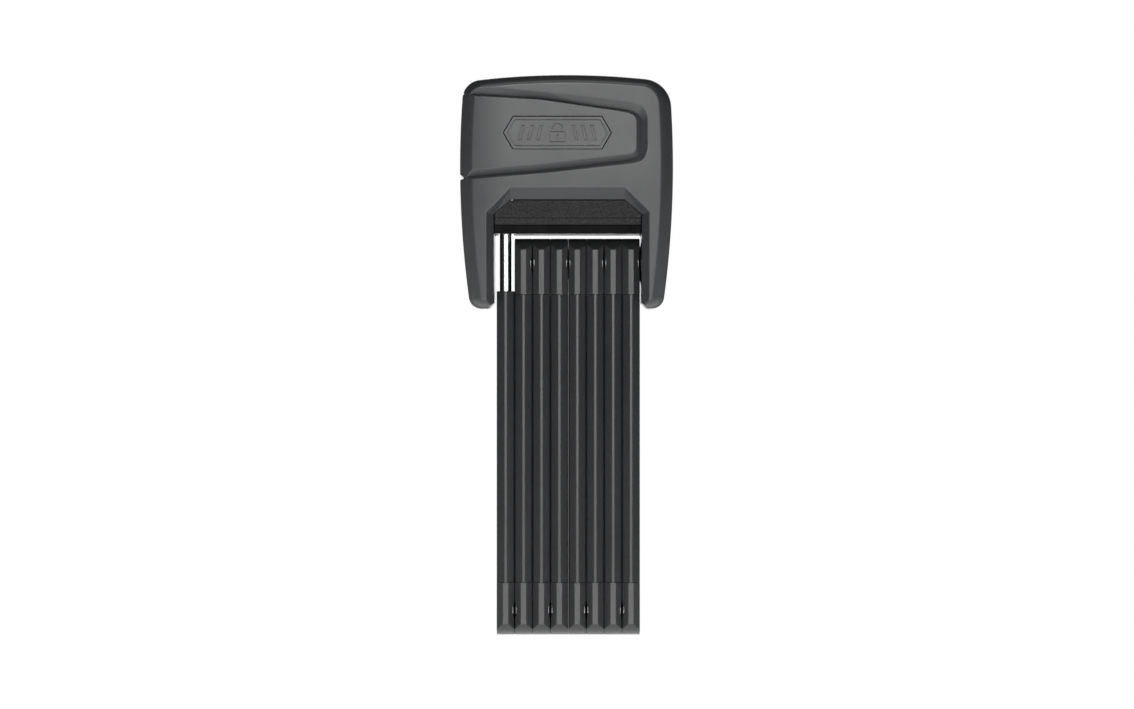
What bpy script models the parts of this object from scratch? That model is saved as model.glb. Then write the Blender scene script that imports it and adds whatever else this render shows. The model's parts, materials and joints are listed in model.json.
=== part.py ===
"""Folding bike lock: eight riveted bars that fold beside each other under a keyed lock body.

Metres, +Z up. The bars hang down with their lower ends at z = 0, the lock body's front faces -Y, and
the bars lie side by side along X. Bar 1 carries the tongue, bar 8 is riveted to the lock body.
"""
import math

import bmesh
import bpy
from mathutils import Matrix, Vector

MM = 0.001
GAP = 0.3 * MM

# Bars
BAR_COUNT = 8
BAR_PITCH = 7.5 * MM
STACK_MIDDLE_X = 0.735 * MM
COVER_THICKNESS = 7.1 * MM
COVER_HALF_DEPTH = 10.75 * MM
CAP_LAND = 2.7 * MM
CAP_CHAMFER_DEPTH = 2.1 * MM
CAP_SIDE_INSET = 0.2 * MM
CAP_END_RISE = 4.9 * MM
PIVOT_DISTANCE = 145.0 * MM
LOWER_PIVOT_Z = COVER_HALF_DEPTH
UPPER_PIVOT_Z = LOWER_PIVOT_Z + PIVOT_DISTANCE
LOWER_CAP_LENGTH = 22.2 * MM
UPPER_CAP_LENGTH = 23.5 * MM
SLEEVE_THICKNESS = 6.9 * MM
SLEEVE_HALF_DEPTH = 10.45 * MM
SLEEVE_LAND = 1.3 * MM
SLEEVE_CHAMFER_DEPTH = 1.5 * MM
SLEEVE_SIDE_INSET = 0.5 * MM
LINK_THICKNESS = 5.0 * MM
LINK_HALF_DEPTH = 8.6 * MM
TONGUE_HALF_DEPTH = 6.0 * MM
TONGUE_TOP_Z = 183.0 * MM
TONGUE_COVER_TOP_Z = 144.3 * MM
TONGUE_EDGE_ROUNDING = 1.9 * MM
TONGUE_ROOT_Z = TONGUE_COVER_TOP_Z - 5 * MM
NOTCH_DEPTH = 3.8 * MM
NOTCH_BOTTOM_Z = 172.4 * MM
NOTCH_TOP_Z = 178.6 * MM

# Rivets
RIVET_SHAFT_RADIUS = 3.2 * MM
RIVET_HEAD_RADIUS = 5.3 * MM
RIVET_HEAD_THICKNESS = 1.5 * MM
HEAD_POCKET_DEPTH = 1.2 * MM
COLLAR_RADIUS = 9.1 * MM

# Housing
HOUSING_HALF_WIDTH = 44.5 * MM
HOUSING_HALF_DEPTH = 21.0 * MM
HOUSING_TOP_Z = 234.5 * MM
HOUSING_LEG_Z = 137.0 * MM
HOUSING_SIDE_RADIUS = 410.0 * MM
HOUSING_SIDE_MIDDLE_Z = 196.3 * MM
HOUSING_TOP_RADIUS = 320.0 * MM
HOUSING_LEFT_CORNER = 8.0 * MM
HOUSING_RIGHT_CORNER = 12.0 * MM
HOUSING_LEG_CORNER = 5.0 * MM
# Edge roundings: reach across the side, reach in depth, reach at top and foot
FRONT_EDGE = (5.2 * MM, 9.0 * MM, 4.0 * MM)
REAR_EDGE = (4.0 * MM, 4.0 * MM, 3.0 * MM)
# 1 rounds the edges as quarter ellipses, more draws them flatter towards a slope
EDGE_FLATNESS = 1.45
PARTING_Y = 12.0 * MM
OPENING_LEFT_X = -30.34 * MM
OPENING_RIGHT_X = 31.39 * MM
OPENING_TOP_Z = 182.3 * MM
OPENING_SHOULDER_Z = 176.15 * MM
OPENING_SHOULDER_WIDTH = 7.3 * MM
OPENING_CHAMFER_SIDE = 3.0 * MM
OPENING_CHAMFER_TOP = 5.0 * MM
OPENING_CHAMFER_DEPTH = 4.0 * MM
LEG_CORNER_CUT = 2.4 * MM

# Front panel and the groove round it
PANEL_THICKNESS = 3.5 * MM
PANEL_REAR_Y = 10.0 * MM
GROOVE_DEPTH = 2.0 * MM
NOTCH_ON_SIDE = 1.55 * MM
# Heights of the side notches: far edge, near edge and floor
UPPER_SIDE_NOTCH = (229.9 * MM, 225.4 * MM, 226.4 * MM)
LOWER_SIDE_NOTCH = (190.3 * MM, 194.6 * MM, 191.2 * MM)
PANEL_MIDDLE_Z = 209.0 * MM
PANEL_RIGHT_END_X = 28.0 * MM

# Lock case, cylinder and deadbolt
CASE_TOP_Z = 222.0 * MM
CASE_NECK_Z = 184.5 * MM
CASE_UNDERSIDE_Z = 168.3 * MM
CASE_FRONT_Y = -13.0 * MM
CASE_REAR_Y = 11.5 * MM
CASE_LEFT_X = -37.0 * MM
CASE_RIGHT_X = 31.0 * MM
CYLINDER_AXIS_Z = 207.0 * MM
CYLINDER_RADIUS = 8.5 * MM
CYLINDER_LEFT_X = -40.3 * MM
CYLINDER_RIGHT_X = -13.6 * MM
PLUG_RADIUS = 5.5 * MM
KEYHOLE_RADIUS = 4.5 * MM
CAM_PIN_OFFSET = 2.97 * MM
BOLT_TRAVEL = 4.2 * MM
SHUTTER_TRAVEL = 9.6 * MM

# Further out than any part of the lock is wide or deep, for cutters that run right through
BEYOND = 60.0 * MM
# How far other cutters run past the face that they open
OVERSHOOT = 5.0 * MM
# Keeps the faces of joined boxes out of each other's planes
STEP = 0.1 * MM
# How far two halves of one cutter reach into each other
LAP = 0.01 * MM


# ---------------------------------------------------------------- scene helpers

def clear_scene():
    for item in list(bpy.data.objects):
        bpy.data.objects.remove(item, do_unlink=True)


def make_collection(name):
    made = bpy.data.collections.new(name)
    bpy.context.scene.collection.children.link(made)
    return made


def make_material(name, colour, roughness, metallic):
    made = bpy.data.materials.new(name)
    made.use_nodes = True
    shader = made.node_tree.nodes["Principled BSDF"]
    shader.inputs["Base Color"].default_value = (*colour, 1.0)
    shader.inputs["Roughness"].default_value = roughness
    shader.inputs["Metallic"].default_value = metallic
    return made


def add_object(name, mesh, where):
    made = bpy.data.objects.new(name, mesh)
    where.objects.link(made)
    return made


def mesh_from(made, name):
    """The object's shape after its modifiers, as a mesh of its own with welded vertices."""
    bpy.context.view_layer.update()
    graph = bpy.context.evaluated_depsgraph_get()
    mesh = bpy.data.meshes.new_from_object(made.evaluated_get(graph))
    mesh.name = name
    shape = bmesh.new()
    shape.from_mesh(mesh)
    bmesh.ops.remove_doubles(shape, verts=shape.verts, dist=0.002 * MM)
    bmesh.ops.dissolve_degenerate(shape, edges=shape.edges, dist=0.002 * MM)
    bmesh.ops.recalc_face_normals(shape, faces=shape.faces)
    shape.to_mesh(mesh)
    shape.free()
    return mesh


def finish_mesh(mesh, sharp_degrees=30):
    mesh.shade_smooth()
    mesh.set_sharp_from_angle(angle=math.radians(sharp_degrees))


def discard(made):
    bpy.data.objects.remove(made, do_unlink=True)


# ---------------------------------------------------------------- shape helpers

# Local X, Y, Z of a flat outline laid in the YZ, XZ or XY plane, and the axis that crosses each plane
YZ_PLANE = Matrix(((0, 0, 1), (1, 0, 0), (0, 1, 0))).to_4x4()
XZ_PLANE = Matrix(((1, 0, 0), (0, 0, -1), (0, 1, 0))).to_4x4()
XY_PLANE = Matrix.Identity(4)


def prism(name, outline, plane, low, high):
    """A flat outline given thickness between two places on the axis that crosses its plane."""
    curve = bpy.data.curves.new(name, "CURVE")
    curve.dimensions = "2D"
    curve.fill_mode = "BOTH"
    curve.extrude = (high - low) / 2
    spline = curve.splines.new("POLY")
    spline.points.add(len(outline) - 1)
    for point, (u, v) in zip(spline.points, outline):
        point.co = (u, v, 0, 1)
    spline.use_cyclic_u = True
    flat = add_object(name, curve, CUTTERS)
    normal = Vector([abs(value) for value in plane.col[2][:3]])
    flat.matrix_world = Matrix.Translation(normal * (high + low) / 2) @ plane
    mesh = mesh_from(flat, name)
    mesh.transform(flat.matrix_world)
    discard(flat)
    return add_object(name, mesh, CUTTERS)


def box(name, x, y, z):
    """A box between two places on each axis."""
    outline = ((x[0], z[0]), (x[1], z[0]), (x[1], z[1]), (x[0], z[1]))
    return prism(name, outline, XZ_PLANE, *y)


def rod(name, axis, radius, low, high, centre, segments=24):
    """A cylinder along X or Y between two places, centred on the other two coordinates."""
    shape = bmesh.new()
    turn = Matrix.Rotation(math.pi / 2, 4, "Y" if axis == "X" else "X")
    bmesh.ops.create_cone(shape, cap_ends=True, segments=segments, radius1=radius, radius2=radius,
                          depth=high - low, matrix=turn)
    middle = (high + low) / 2
    offset = Vector((middle, *centre)) if axis == "X" else Vector((centre[0], middle, centre[1]))
    bmesh.ops.translate(shape, verts=shape.verts, vec=offset)
    bmesh.ops.recalc_face_normals(shape, faces=shape.faces)
    mesh = bpy.data.meshes.new(name)
    shape.to_mesh(mesh)
    shape.free()
    return add_object(name, mesh, CUTTERS)


def turned(name, profile, axis, origin, segments=24):
    """A solid of revolution: profile points are (place along the axis, radius), low end first."""
    mesh = bpy.data.meshes.new(name)
    points = [(radius, 0, place) for place, radius in reversed(profile)]
    edges = [(index, index + 1) for index in range(len(points) - 1)]
    mesh.from_pydata(points, edges, [])
    made = add_object(name, mesh, CUTTERS)
    screw = made.modifiers.new("turn", "SCREW")
    screw.steps = segments
    screw.render_steps = segments
    screw.use_merge_vertices = True
    screw.merge_threshold = 0.01 * MM
    solid = mesh_from(made, name)
    discard(made)
    turn = Matrix.Rotation(math.pi / 2, 4, "Y") if axis == "X" else Matrix.Rotation(-math.pi / 2, 4, "X")
    solid.transform(Matrix.Translation(Vector(origin)) @ turn)
    return add_object(name, solid, CUTTERS)


def combine(target, other, operation="DIFFERENCE"):
    """Cut, join or intersect with another object, which stays behind as a hidden wire guide."""
    step = target.modifiers.new(operation.lower(), "BOOLEAN")
    step.operation = operation
    step.solver = "EXACT"
    step.object = other
    other.hide_render = True
    other.display_type = "WIRE"
    return target


def round_edges(made, width, segments, degrees=50):
    step = made.modifiers.new("rounding", "BEVEL")
    step.width = width
    step.segments = segments
    step.limit_method = "ANGLE"
    step.angle_limit = math.radians(degrees)
    return made


def baked(made, name):
    """The finished mesh of a pattern object, whose object and cutters are then removed."""
    guides = [step.object for step in made.modifiers if step.type == "BOOLEAN"]
    mesh = mesh_from(made, name)
    for item in guides + [made]:
        discard(item)
    finish_mesh(mesh)
    return mesh


def arc(centre, radius, start, end, steps):
    """Points of an arc, with its angles in degrees, both ends included."""
    angles = [math.radians(start + (end - start) * step / steps) for step in range(steps + 1)]
    return [(centre[0] + radius * math.cos(a), centre[1] + radius * math.sin(a)) for a in angles]


def place(made, name, material, parent=None):
    """Move a modelled object into the lock's own collection under its final name."""
    CUTTERS.objects.unlink(made)
    LOCK.objects.link(made)
    made.name = name
    made.data.name = name
    made.data.materials.clear()
    made.data.materials.append(material)
    if parent is not None:
        made.parent = parent
        made.matrix_parent_inverse = parent.matrix_world.inverted()
    return made


def joint_empty(name, location, parent=None):
    made = bpy.data.objects.new(name, None)
    LOCK.objects.link(made)
    made.empty_display_size = 5 * MM
    made.location = location
    bpy.context.view_layer.update()
    if parent is not None:
        made.parent = parent
        made.matrix_parent_inverse = parent.matrix_world.inverted()
        bpy.context.view_layer.update()
    return made


# ---------------------------------------------------------------- bars

def bar_x(number):
    return STACK_MIDDLE_X + (number - (BAR_COUNT + 1) / 2) * BAR_PITCH


def round_end(half_depth, length, steps):
    """Half-round end above a pivot at the origin, with straight sides down to the given length."""
    foot = half_depth - length
    return arc((0, 0), half_depth, 0, 180, steps) + [(-half_depth, foot), (half_depth, foot)]


def bowed_end(half_depth, rise, length, steps):
    """Straight sides up to a crease, then one shallow arc over the top, half a depth above the origin."""
    radius = (half_depth ** 2 + rise ** 2) / (2 * rise)
    spread = math.degrees(math.asin(half_depth / radius))
    crown = arc((0, half_depth - radius), radius, 90 - spread, 90 + spread, steps)
    return crown + [(-half_depth, half_depth - length), (half_depth, half_depth - length)]


def cover_section(thickness, half_depth, land, chamfer_depth, side_inset):
    """A bar cover seen from above: a flat land with a chamfer on each side, front and rear."""
    side = thickness / 2
    front = half_depth - chamfer_depth
    quarter = [(land / 2, half_depth), (side - side_inset / 2, front), (side, front - side_inset)]
    right = quarter + [(x, -y) for x, y in reversed(quarter)]
    return right + [(-x, y) for x, y in reversed(right)]


def cap_mesh(name, length):
    """End cap round a pivot at the origin, open on its +X side for the rivet's collar."""
    half = COVER_THICKNESS / 2
    section = cover_section(COVER_THICKNESS, COVER_HALF_DEPTH, CAP_LAND, CAP_CHAMFER_DEPTH, CAP_SIDE_INSET)
    shape = prism(name, section, XY_PLANE, -BEYOND, BEYOND)
    profile = bowed_end(COVER_HALF_DEPTH, CAP_END_RISE, length, 8)
    combine(shape, prism("cap_profile", profile, YZ_PLANE, -half * 2, half * 2), "INTERSECT")
    inner = LINK_THICKNESS / 2 + GAP
    slot = round_end(LINK_HALF_DEPTH + GAP, length + 2 * half, 6)
    combine(shape, prism("cap_slot", slot, YZ_PLANE, -inner, inner))
    combine(shape, rod("cap_window", "X", COLLAR_RADIUS + GAP, 0, half * 2, (0, 0), 16))
    combine(shape, rod("cap_head", "X", RIVET_HEAD_RADIUS + GAP, -half * 2, 0, (0, 0), 10))
    return baked(shape, name)


def sleeve_mesh(name, low, high):
    """Long cover between the caps, hollow for the link."""
    section = cover_section(SLEEVE_THICKNESS, SLEEVE_HALF_DEPTH, SLEEVE_LAND, SLEEVE_CHAMFER_DEPTH,
                            SLEEVE_SIDE_INSET)
    made = prism(name, section, XY_PLANE, low, high)
    inner = LINK_THICKNESS / 2 + GAP
    slot_depth = LINK_HALF_DEPTH + GAP
    combine(made, box("sleeve_slot", (-inner, inner), (-slot_depth, slot_depth), (low - MM, high + MM)))
    return baked(made, name)


def link_mesh(name, top=None):
    """Steel link with its lower pivot at the origin, collar face on +X below and on -X above.

    A link that is given a top has no upper pivot: it ends square there.
    """
    half = LINK_THICKNESS / 2
    lower = arc((0, 0), LINK_HALF_DEPTH, 180, 360, 6)
    if top is None:
        upper = arc((0, PIVOT_DISTANCE), LINK_HALF_DEPTH, 0, 180, 6)
    else:
        upper = [(LINK_HALF_DEPTH, top), (-LINK_HALF_DEPTH, top)]
    made = prism(name, lower + upper, YZ_PLANE, -half, half)
    pivots = [(0, -1)] if top is not None else [(0, -1), (PIVOT_DISTANCE, 1)]
    for height, side in pivots:
        hole = rod("link_hole", "X", RIVET_SHAFT_RADIUS + GAP, -half * 2, half * 2, (0, height), 12)
        combine(made, hole)
        pocket = sorted((side * half * 2, side * (half - HEAD_POCKET_DEPTH)))
        combine(made, rod("link_pocket", "X", RIVET_HEAD_RADIUS + GAP, *pocket, (0, height), 12))
    return baked(made, name)


def tongue_mesh(name):
    """Rounded blade on the end of bar 1's link, with the notch that the deadbolt enters."""
    half = LINK_THICKNESS / 2
    blade = box(name, (-half, half), (-TONGUE_HALF_DEPTH, TONGUE_HALF_DEPTH), (TONGUE_ROOT_Z, TONGUE_TOP_Z))
    round_edges(blade, TONGUE_EDGE_ROUNDING, 2)
    combine(blade, box("tongue_foot", (-half * 2, half * 2), (-BEYOND, BEYOND),
                       (TONGUE_ROOT_Z - MM, TONGUE_ROOT_Z + TONGUE_EDGE_ROUNDING)))
    notch = (NOTCH_BOTTOM_Z, NOTCH_TOP_Z)
    floor_y = NOTCH_DEPTH - TONGUE_HALF_DEPTH
    combine(blade, box("tongue_notch", (-half * 2, half * 2), (-BEYOND, floor_y), notch))
    return baked(blade, name)


def rivet(name, left_x, right_x, collar, pivot_z):
    """Turned rivet between two head faces, with a wide collar between the pieces that it joins."""
    head = RIVET_HEAD_THICKNESS
    profile = [(left_x, 0), (left_x, RIVET_HEAD_RADIUS), (left_x + head, RIVET_HEAD_RADIUS),
               (left_x + head, RIVET_SHAFT_RADIUS), (collar[0], RIVET_SHAFT_RADIUS),
               (collar[0], COLLAR_RADIUS), (collar[1], COLLAR_RADIUS), (collar[1], RIVET_SHAFT_RADIUS),
               (right_x - head, RIVET_SHAFT_RADIUS), (right_x - head, RIVET_HEAD_RADIUS),
               (right_x, RIVET_HEAD_RADIUS), (right_x, 0)]
    made = turned(name, profile, "X", (0, 0, pivot_z), 14)
    finish_mesh(made.data)
    return made


def head_face(number, side):
    """Outer face of a rivet head in a bar's pocket, on its left (-1) or right (1)."""
    reach = LINK_THICKNESS / 2 - HEAD_POCKET_DEPTH + GAP + RIVET_HEAD_THICKNESS
    return bar_x(number) + side * reach


def build_bars():
    half_link = LINK_THICKNESS / 2
    numbers = range(1, BAR_COUNT + 1)
    pivot_of = {number: LOWER_PIVOT_Z if number % 2 else UPPER_PIVOT_Z for number in numbers}
    lower_cap = cap_mesh("lower_cap", LOWER_CAP_LENGTH)
    upper_cap = cap_mesh("upper_cap", UPPER_CAP_LENGTH)
    sleeve_foot = LOWER_CAP_LENGTH + GAP
    sleeve_top = UPPER_PIVOT_Z + COVER_HALF_DEPTH - UPPER_CAP_LENGTH - GAP
    sleeve = sleeve_mesh("sleeve", sleeve_foot, sleeve_top)
    tongue_sleeve = sleeve_mesh("tongue_sleeve", sleeve_foot, TONGUE_COVER_TOP_Z)
    link = link_mesh("link")
    short_link = link_mesh("short_link", TONGUE_ROOT_Z + TONGUE_EDGE_ROUNDING - GAP - LOWER_PIVOT_Z)
    half_turn = {axis: Matrix.Rotation(math.pi, 4, axis) for axis in "XYZ"}
    parent = None
    for number in range(BAR_COUNT, 0, -1):
        odd = number % 2 == 1
        x = bar_x(number)
        name = f"bar_{number}"
        parent = joint_empty(f"{name}_joint", (x, 0, pivot_of[number]), parent)
        lower = Matrix.Translation((x, 0, LOWER_PIVOT_Z))
        upper = Matrix.Translation((x, 0, UPPER_PIVOT_Z))
        upright = Matrix.Translation((x, 0, 0))
        pieces = [("lower_cap", lower_cap, lower @ half_turn["X" if odd else "Y"], MATERIALS["cap"]),
                  ("sleeve", tongue_sleeve if number == 1 else sleeve, upright, MATERIALS["sleeve"]),
                  ("link", short_link if number == 1 else link, lower if odd else lower @ half_turn["Z"],
                   MATERIALS["link"])]
        if number == 1:
            pieces.append(("tongue", tongue_mesh("tongue"), upright, MATERIALS["link"]))
        else:
            turn = half_turn["Z"] if odd else Matrix.Identity(4)
            pieces.append(("upper_cap", upper_cap, upper @ turn, MATERIALS["cap"]))
        for label, mesh, matrix, material in pieces:
            made = add_object(f"{name}_{label}", mesh.copy(), CUTTERS)
            made.matrix_world = matrix
            place(made, f"{name}_{label}", material, parent)
        if number < BAR_COUNT:
            collar = (x + half_link + GAP, bar_x(number + 1) - half_link - GAP)
            pivot_z = pivot_of[number]
            made = rivet("rivet", head_face(number, -1), head_face(number + 1, 1), collar, pivot_z)
            place(made, f"rivet_{number}_{number + 1}", MATERIALS["rivet"], parent)


# ---------------------------------------------------------------- housing

def half_outline(inset_x, inset_z, top_corner):
    """Right half of the housing seen from the front, moved inward: gentle arcs with rounded corners."""
    shrink = (inset_x + inset_z) / 2
    side_radius = HOUSING_SIDE_RADIUS - inset_x
    side_x = HOUSING_HALF_WIDTH - HOUSING_SIDE_RADIUS
    top_radius = HOUSING_TOP_RADIUS - inset_z
    top_z = HOUSING_TOP_Z - HOUSING_TOP_RADIUS
    corner = max(top_corner - shrink, 2 * MM)
    leg_corner = max(HOUSING_LEG_CORNER - shrink, 1.5 * MM)
    span = Vector((-side_x, top_z - HOUSING_SIDE_MIDDLE_Z))
    near, far = side_radius - corner, top_radius - corner
    along = (near ** 2 - far ** 2 + span.length_squared) / (2 * span.length)
    off = math.sqrt(near ** 2 - along ** 2)
    unit = span.normalized()
    corner_x = side_x + unit.x * along - unit.y * off
    corner_z = HOUSING_SIDE_MIDDLE_Z + unit.y * along + unit.x * off
    leg_z = HOUSING_LEG_Z + inset_z + leg_corner
    leg_x = side_x + math.sqrt((side_radius - leg_corner) ** 2 - (leg_z - HOUSING_SIDE_MIDDLE_Z) ** 2)
    top_end = math.degrees(math.atan2(corner_z - top_z, corner_x))
    side_start = math.degrees(math.atan2(corner_z - HOUSING_SIDE_MIDDLE_Z, corner_x - side_x))
    side_end = math.degrees(math.atan2(leg_z - HOUSING_SIDE_MIDDLE_Z, leg_x - side_x))
    half = arc((0, top_z), top_radius, 90, top_end, 4)
    half += arc((corner_x, corner_z), corner, top_end, side_start, 5)[1:]
    half += arc((side_x, HOUSING_SIDE_MIDDLE_Z), side_radius, side_start, side_end, 6)[1:]
    half += arc((leg_x, leg_z), leg_corner, side_end, -90, 3)[1:]
    return half


def housing_outline(inset_x, inset_z):
    """The whole outline, whose left top corner is tighter than its right one."""
    left = half_outline(inset_x, inset_z, HOUSING_LEFT_CORNER)
    return half_outline(inset_x, inset_z, HOUSING_RIGHT_CORNER) + [(-x, z) for x, z in reversed(left[1:])]


def rounded_edge(edge, face_y, shrink, steps):
    """Rings (y, inset x, inset z) from the full outline to the inset face of a rounded edge."""
    across, deep, high = edge
    direction = math.copysign(1, face_y)
    rings = []
    for step in range(steps + 1):
        angle = math.pi / 2 * step / steps
        y = face_y - direction * (shrink + deep * (1 - math.sin(angle) ** EDGE_FLATNESS))
        side = 1 - math.cos(angle) ** EDGE_FLATNESS
        top = 1 - math.cos(angle)
        rings.append((y, shrink + across * side, shrink + high * top))
    return rings


def soft_block(name, shrink=0.0, front_y=None, rear_y=None):
    """The housing's outer form, lofted through its rounded edges; a given y cuts it off flat."""
    rings = rounded_edge(FRONT_EDGE, -HOUSING_HALF_DEPTH, shrink, 6)[::-1]
    if front_y is not None:
        rings = [(front_y, shrink, shrink)]
    if rear_y is None:
        rings += rounded_edge(REAR_EDGE, HOUSING_HALF_DEPTH, shrink, 3)
    else:
        rings.append((rear_y, shrink, shrink))
    shape = bmesh.new()
    loops = []
    for y, inset_x, inset_z in rings:
        loops.append([shape.verts.new((x, y, z)) for x, z in housing_outline(inset_x, inset_z)])
    count = len(loops[0])
    for near, far in zip(loops, loops[1:]):
        for index in range(count):
            after = (index + 1) % count
            shape.faces.new((near[index], near[after], far[after], far[index]))
    shape.faces.new(loops[0])
    shape.faces.new(loops[-1])
    bmesh.ops.recalc_face_normals(shape, faces=shape.faces)
    mesh = bpy.data.meshes.new(name)
    shape.to_mesh(mesh)
    shape.free()
    return add_object(name, mesh, CUTTERS)


def loft(name, near, near_y, far, far_y):
    """A solid between two outlines in the XZ plane that have the same number of points."""
    shape = bmesh.new()
    ends = ((near, near_y), (far, far_y))
    loops = [[shape.verts.new((x, y, z)) for x, z in outline] for outline, y in ends]
    count = len(near)
    for index in range(count):
        after = (index + 1) % count
        shape.faces.new((loops[0][index], loops[0][after], loops[1][after], loops[1][index]))
    shape.faces.new(loops[0])
    shape.faces.new(loops[1])
    bmesh.ops.recalc_face_normals(shape, faces=shape.faces)
    mesh = bpy.data.meshes.new(name)
    shape.to_mesh(mesh)
    shape.free()
    return add_object(name, mesh, CUTTERS)


def opening_outline(grow_side, grow_top):
    """The U between the legs, with sloped shoulders, open below; the insets move it outward."""
    left, right = OPENING_LEFT_X - grow_side, OPENING_RIGHT_X + grow_side
    low = HOUSING_LEG_Z - OVERSHOOT
    shoulder_z = OPENING_SHOULDER_Z + grow_side * 0.4
    top = OPENING_TOP_Z + grow_top
    inner_left = OPENING_LEFT_X + OPENING_SHOULDER_WIDTH
    inner_right = OPENING_RIGHT_X - OPENING_SHOULDER_WIDTH
    return [(left, low), (left, shoulder_z), (inner_left, top), (inner_right, top), (right, shoulder_z),
            (right, low)]


def leg_cut_outline():
    """Widens the opening at the very bottom of both legs by a sloped corner."""
    reach = 8 * MM
    top = HOUSING_LEG_Z + LEG_CORNER_CUT
    left, right = OPENING_LEFT_X, OPENING_RIGHT_X
    low = top - reach
    return [(left, top), (left - reach, low), (right + reach, low), (right, top)]


def panel_outline(edge):
    """The front panel's trapezoid: its face, the groove's floor beside it, or the groove's outer edge."""
    face = ((-11.1, 223.7), (9.6, 220.7), (25.7, 218.3), (28.4, 217.0), (29.2, 215.2), (29.2, 203.6),
            (28.2, 201.8), (25.7, 201.1), (9.6, 199.3), (-11.1, 196.9))
    floor = ((-11.1, 224.4), (9.6, 221.4), (26.3, 219.1), (29.6, 217.8), (31.0, 215.6), (31.0, 202.6),
             (29.5, 199.6), (26.2, 198.6), (9.6, 196.6), (-11.1, 194.2))
    outer = ((-11.1, 227.2), (9.6, 225.1), (27.0, 222.8), (31.6, 221.2), (33.6, 217.0), (33.7, 203.2),
             (32.0, 198.6), (28.5, 197.3), (9.6, 195.2), (-11.1, 193.0))
    points = {"face": face, "floor": floor, "outer": outer}[edge]
    beyond = -50.0
    rise = {"face": (225.9, 193.6), "floor": (226.6, 191.0), "outer": (230.1, 189.8)}[edge]
    ends = [(beyond, rise[0])] + list(points) + [(beyond, rise[1])]
    return [(x * MM, z * MM) for x, z in ends]


def moved_outline(outline, outward):
    """The outline with each point moved away from the panel's middle height, and its right end outward."""
    moved = []
    for x, z in outline:
        shift_z = outward if z > PANEL_MIDDLE_Z else -outward
        shift_x = outward if x > PANEL_RIGHT_END_X else 0
        moved.append((x + shift_x, z + shift_z))
    return moved


def side_groove(name, heights):
    """V-shaped cut across the housing's left side where the panel's groove wraps round it."""
    outer_x = -HOUSING_HALF_WIDTH - 2 * MM
    inner_x = -HOUSING_HALF_WIDTH + NOTCH_ON_SIDE + 0.5 * MM
    far, near, floor = heights
    outline = [(outer_x, far), (outer_x, near), (inner_x, floor)]
    return prism(name, outline, XZ_PLANE, -HOUSING_HALF_DEPTH - MM, HOUSING_HALF_DEPTH + MM)


def panel_prism(name, edge, outward):
    """The panel's region: groove wall from the front face down to the floor, then straight back."""
    face_y = -HOUSING_HALF_DEPTH
    floor_y = face_y + GROOVE_DEPTH
    floor = moved_outline(panel_outline("floor"), outward)
    rear = PANEL_REAR_Y + (GAP if edge == "outer" else 0)
    straight = prism(name, floor, XZ_PLANE, floor_y - LAP, rear)
    front = panel_outline(edge)
    slope = [(2 * a[0] - b[0], 2 * a[1] - b[1]) for a, b in zip(front, floor)]
    sloped = loft(name + "_slope", slope, face_y - GROOVE_DEPTH, floor, floor_y)
    return combine(straight, sloped, "UNION")


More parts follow.
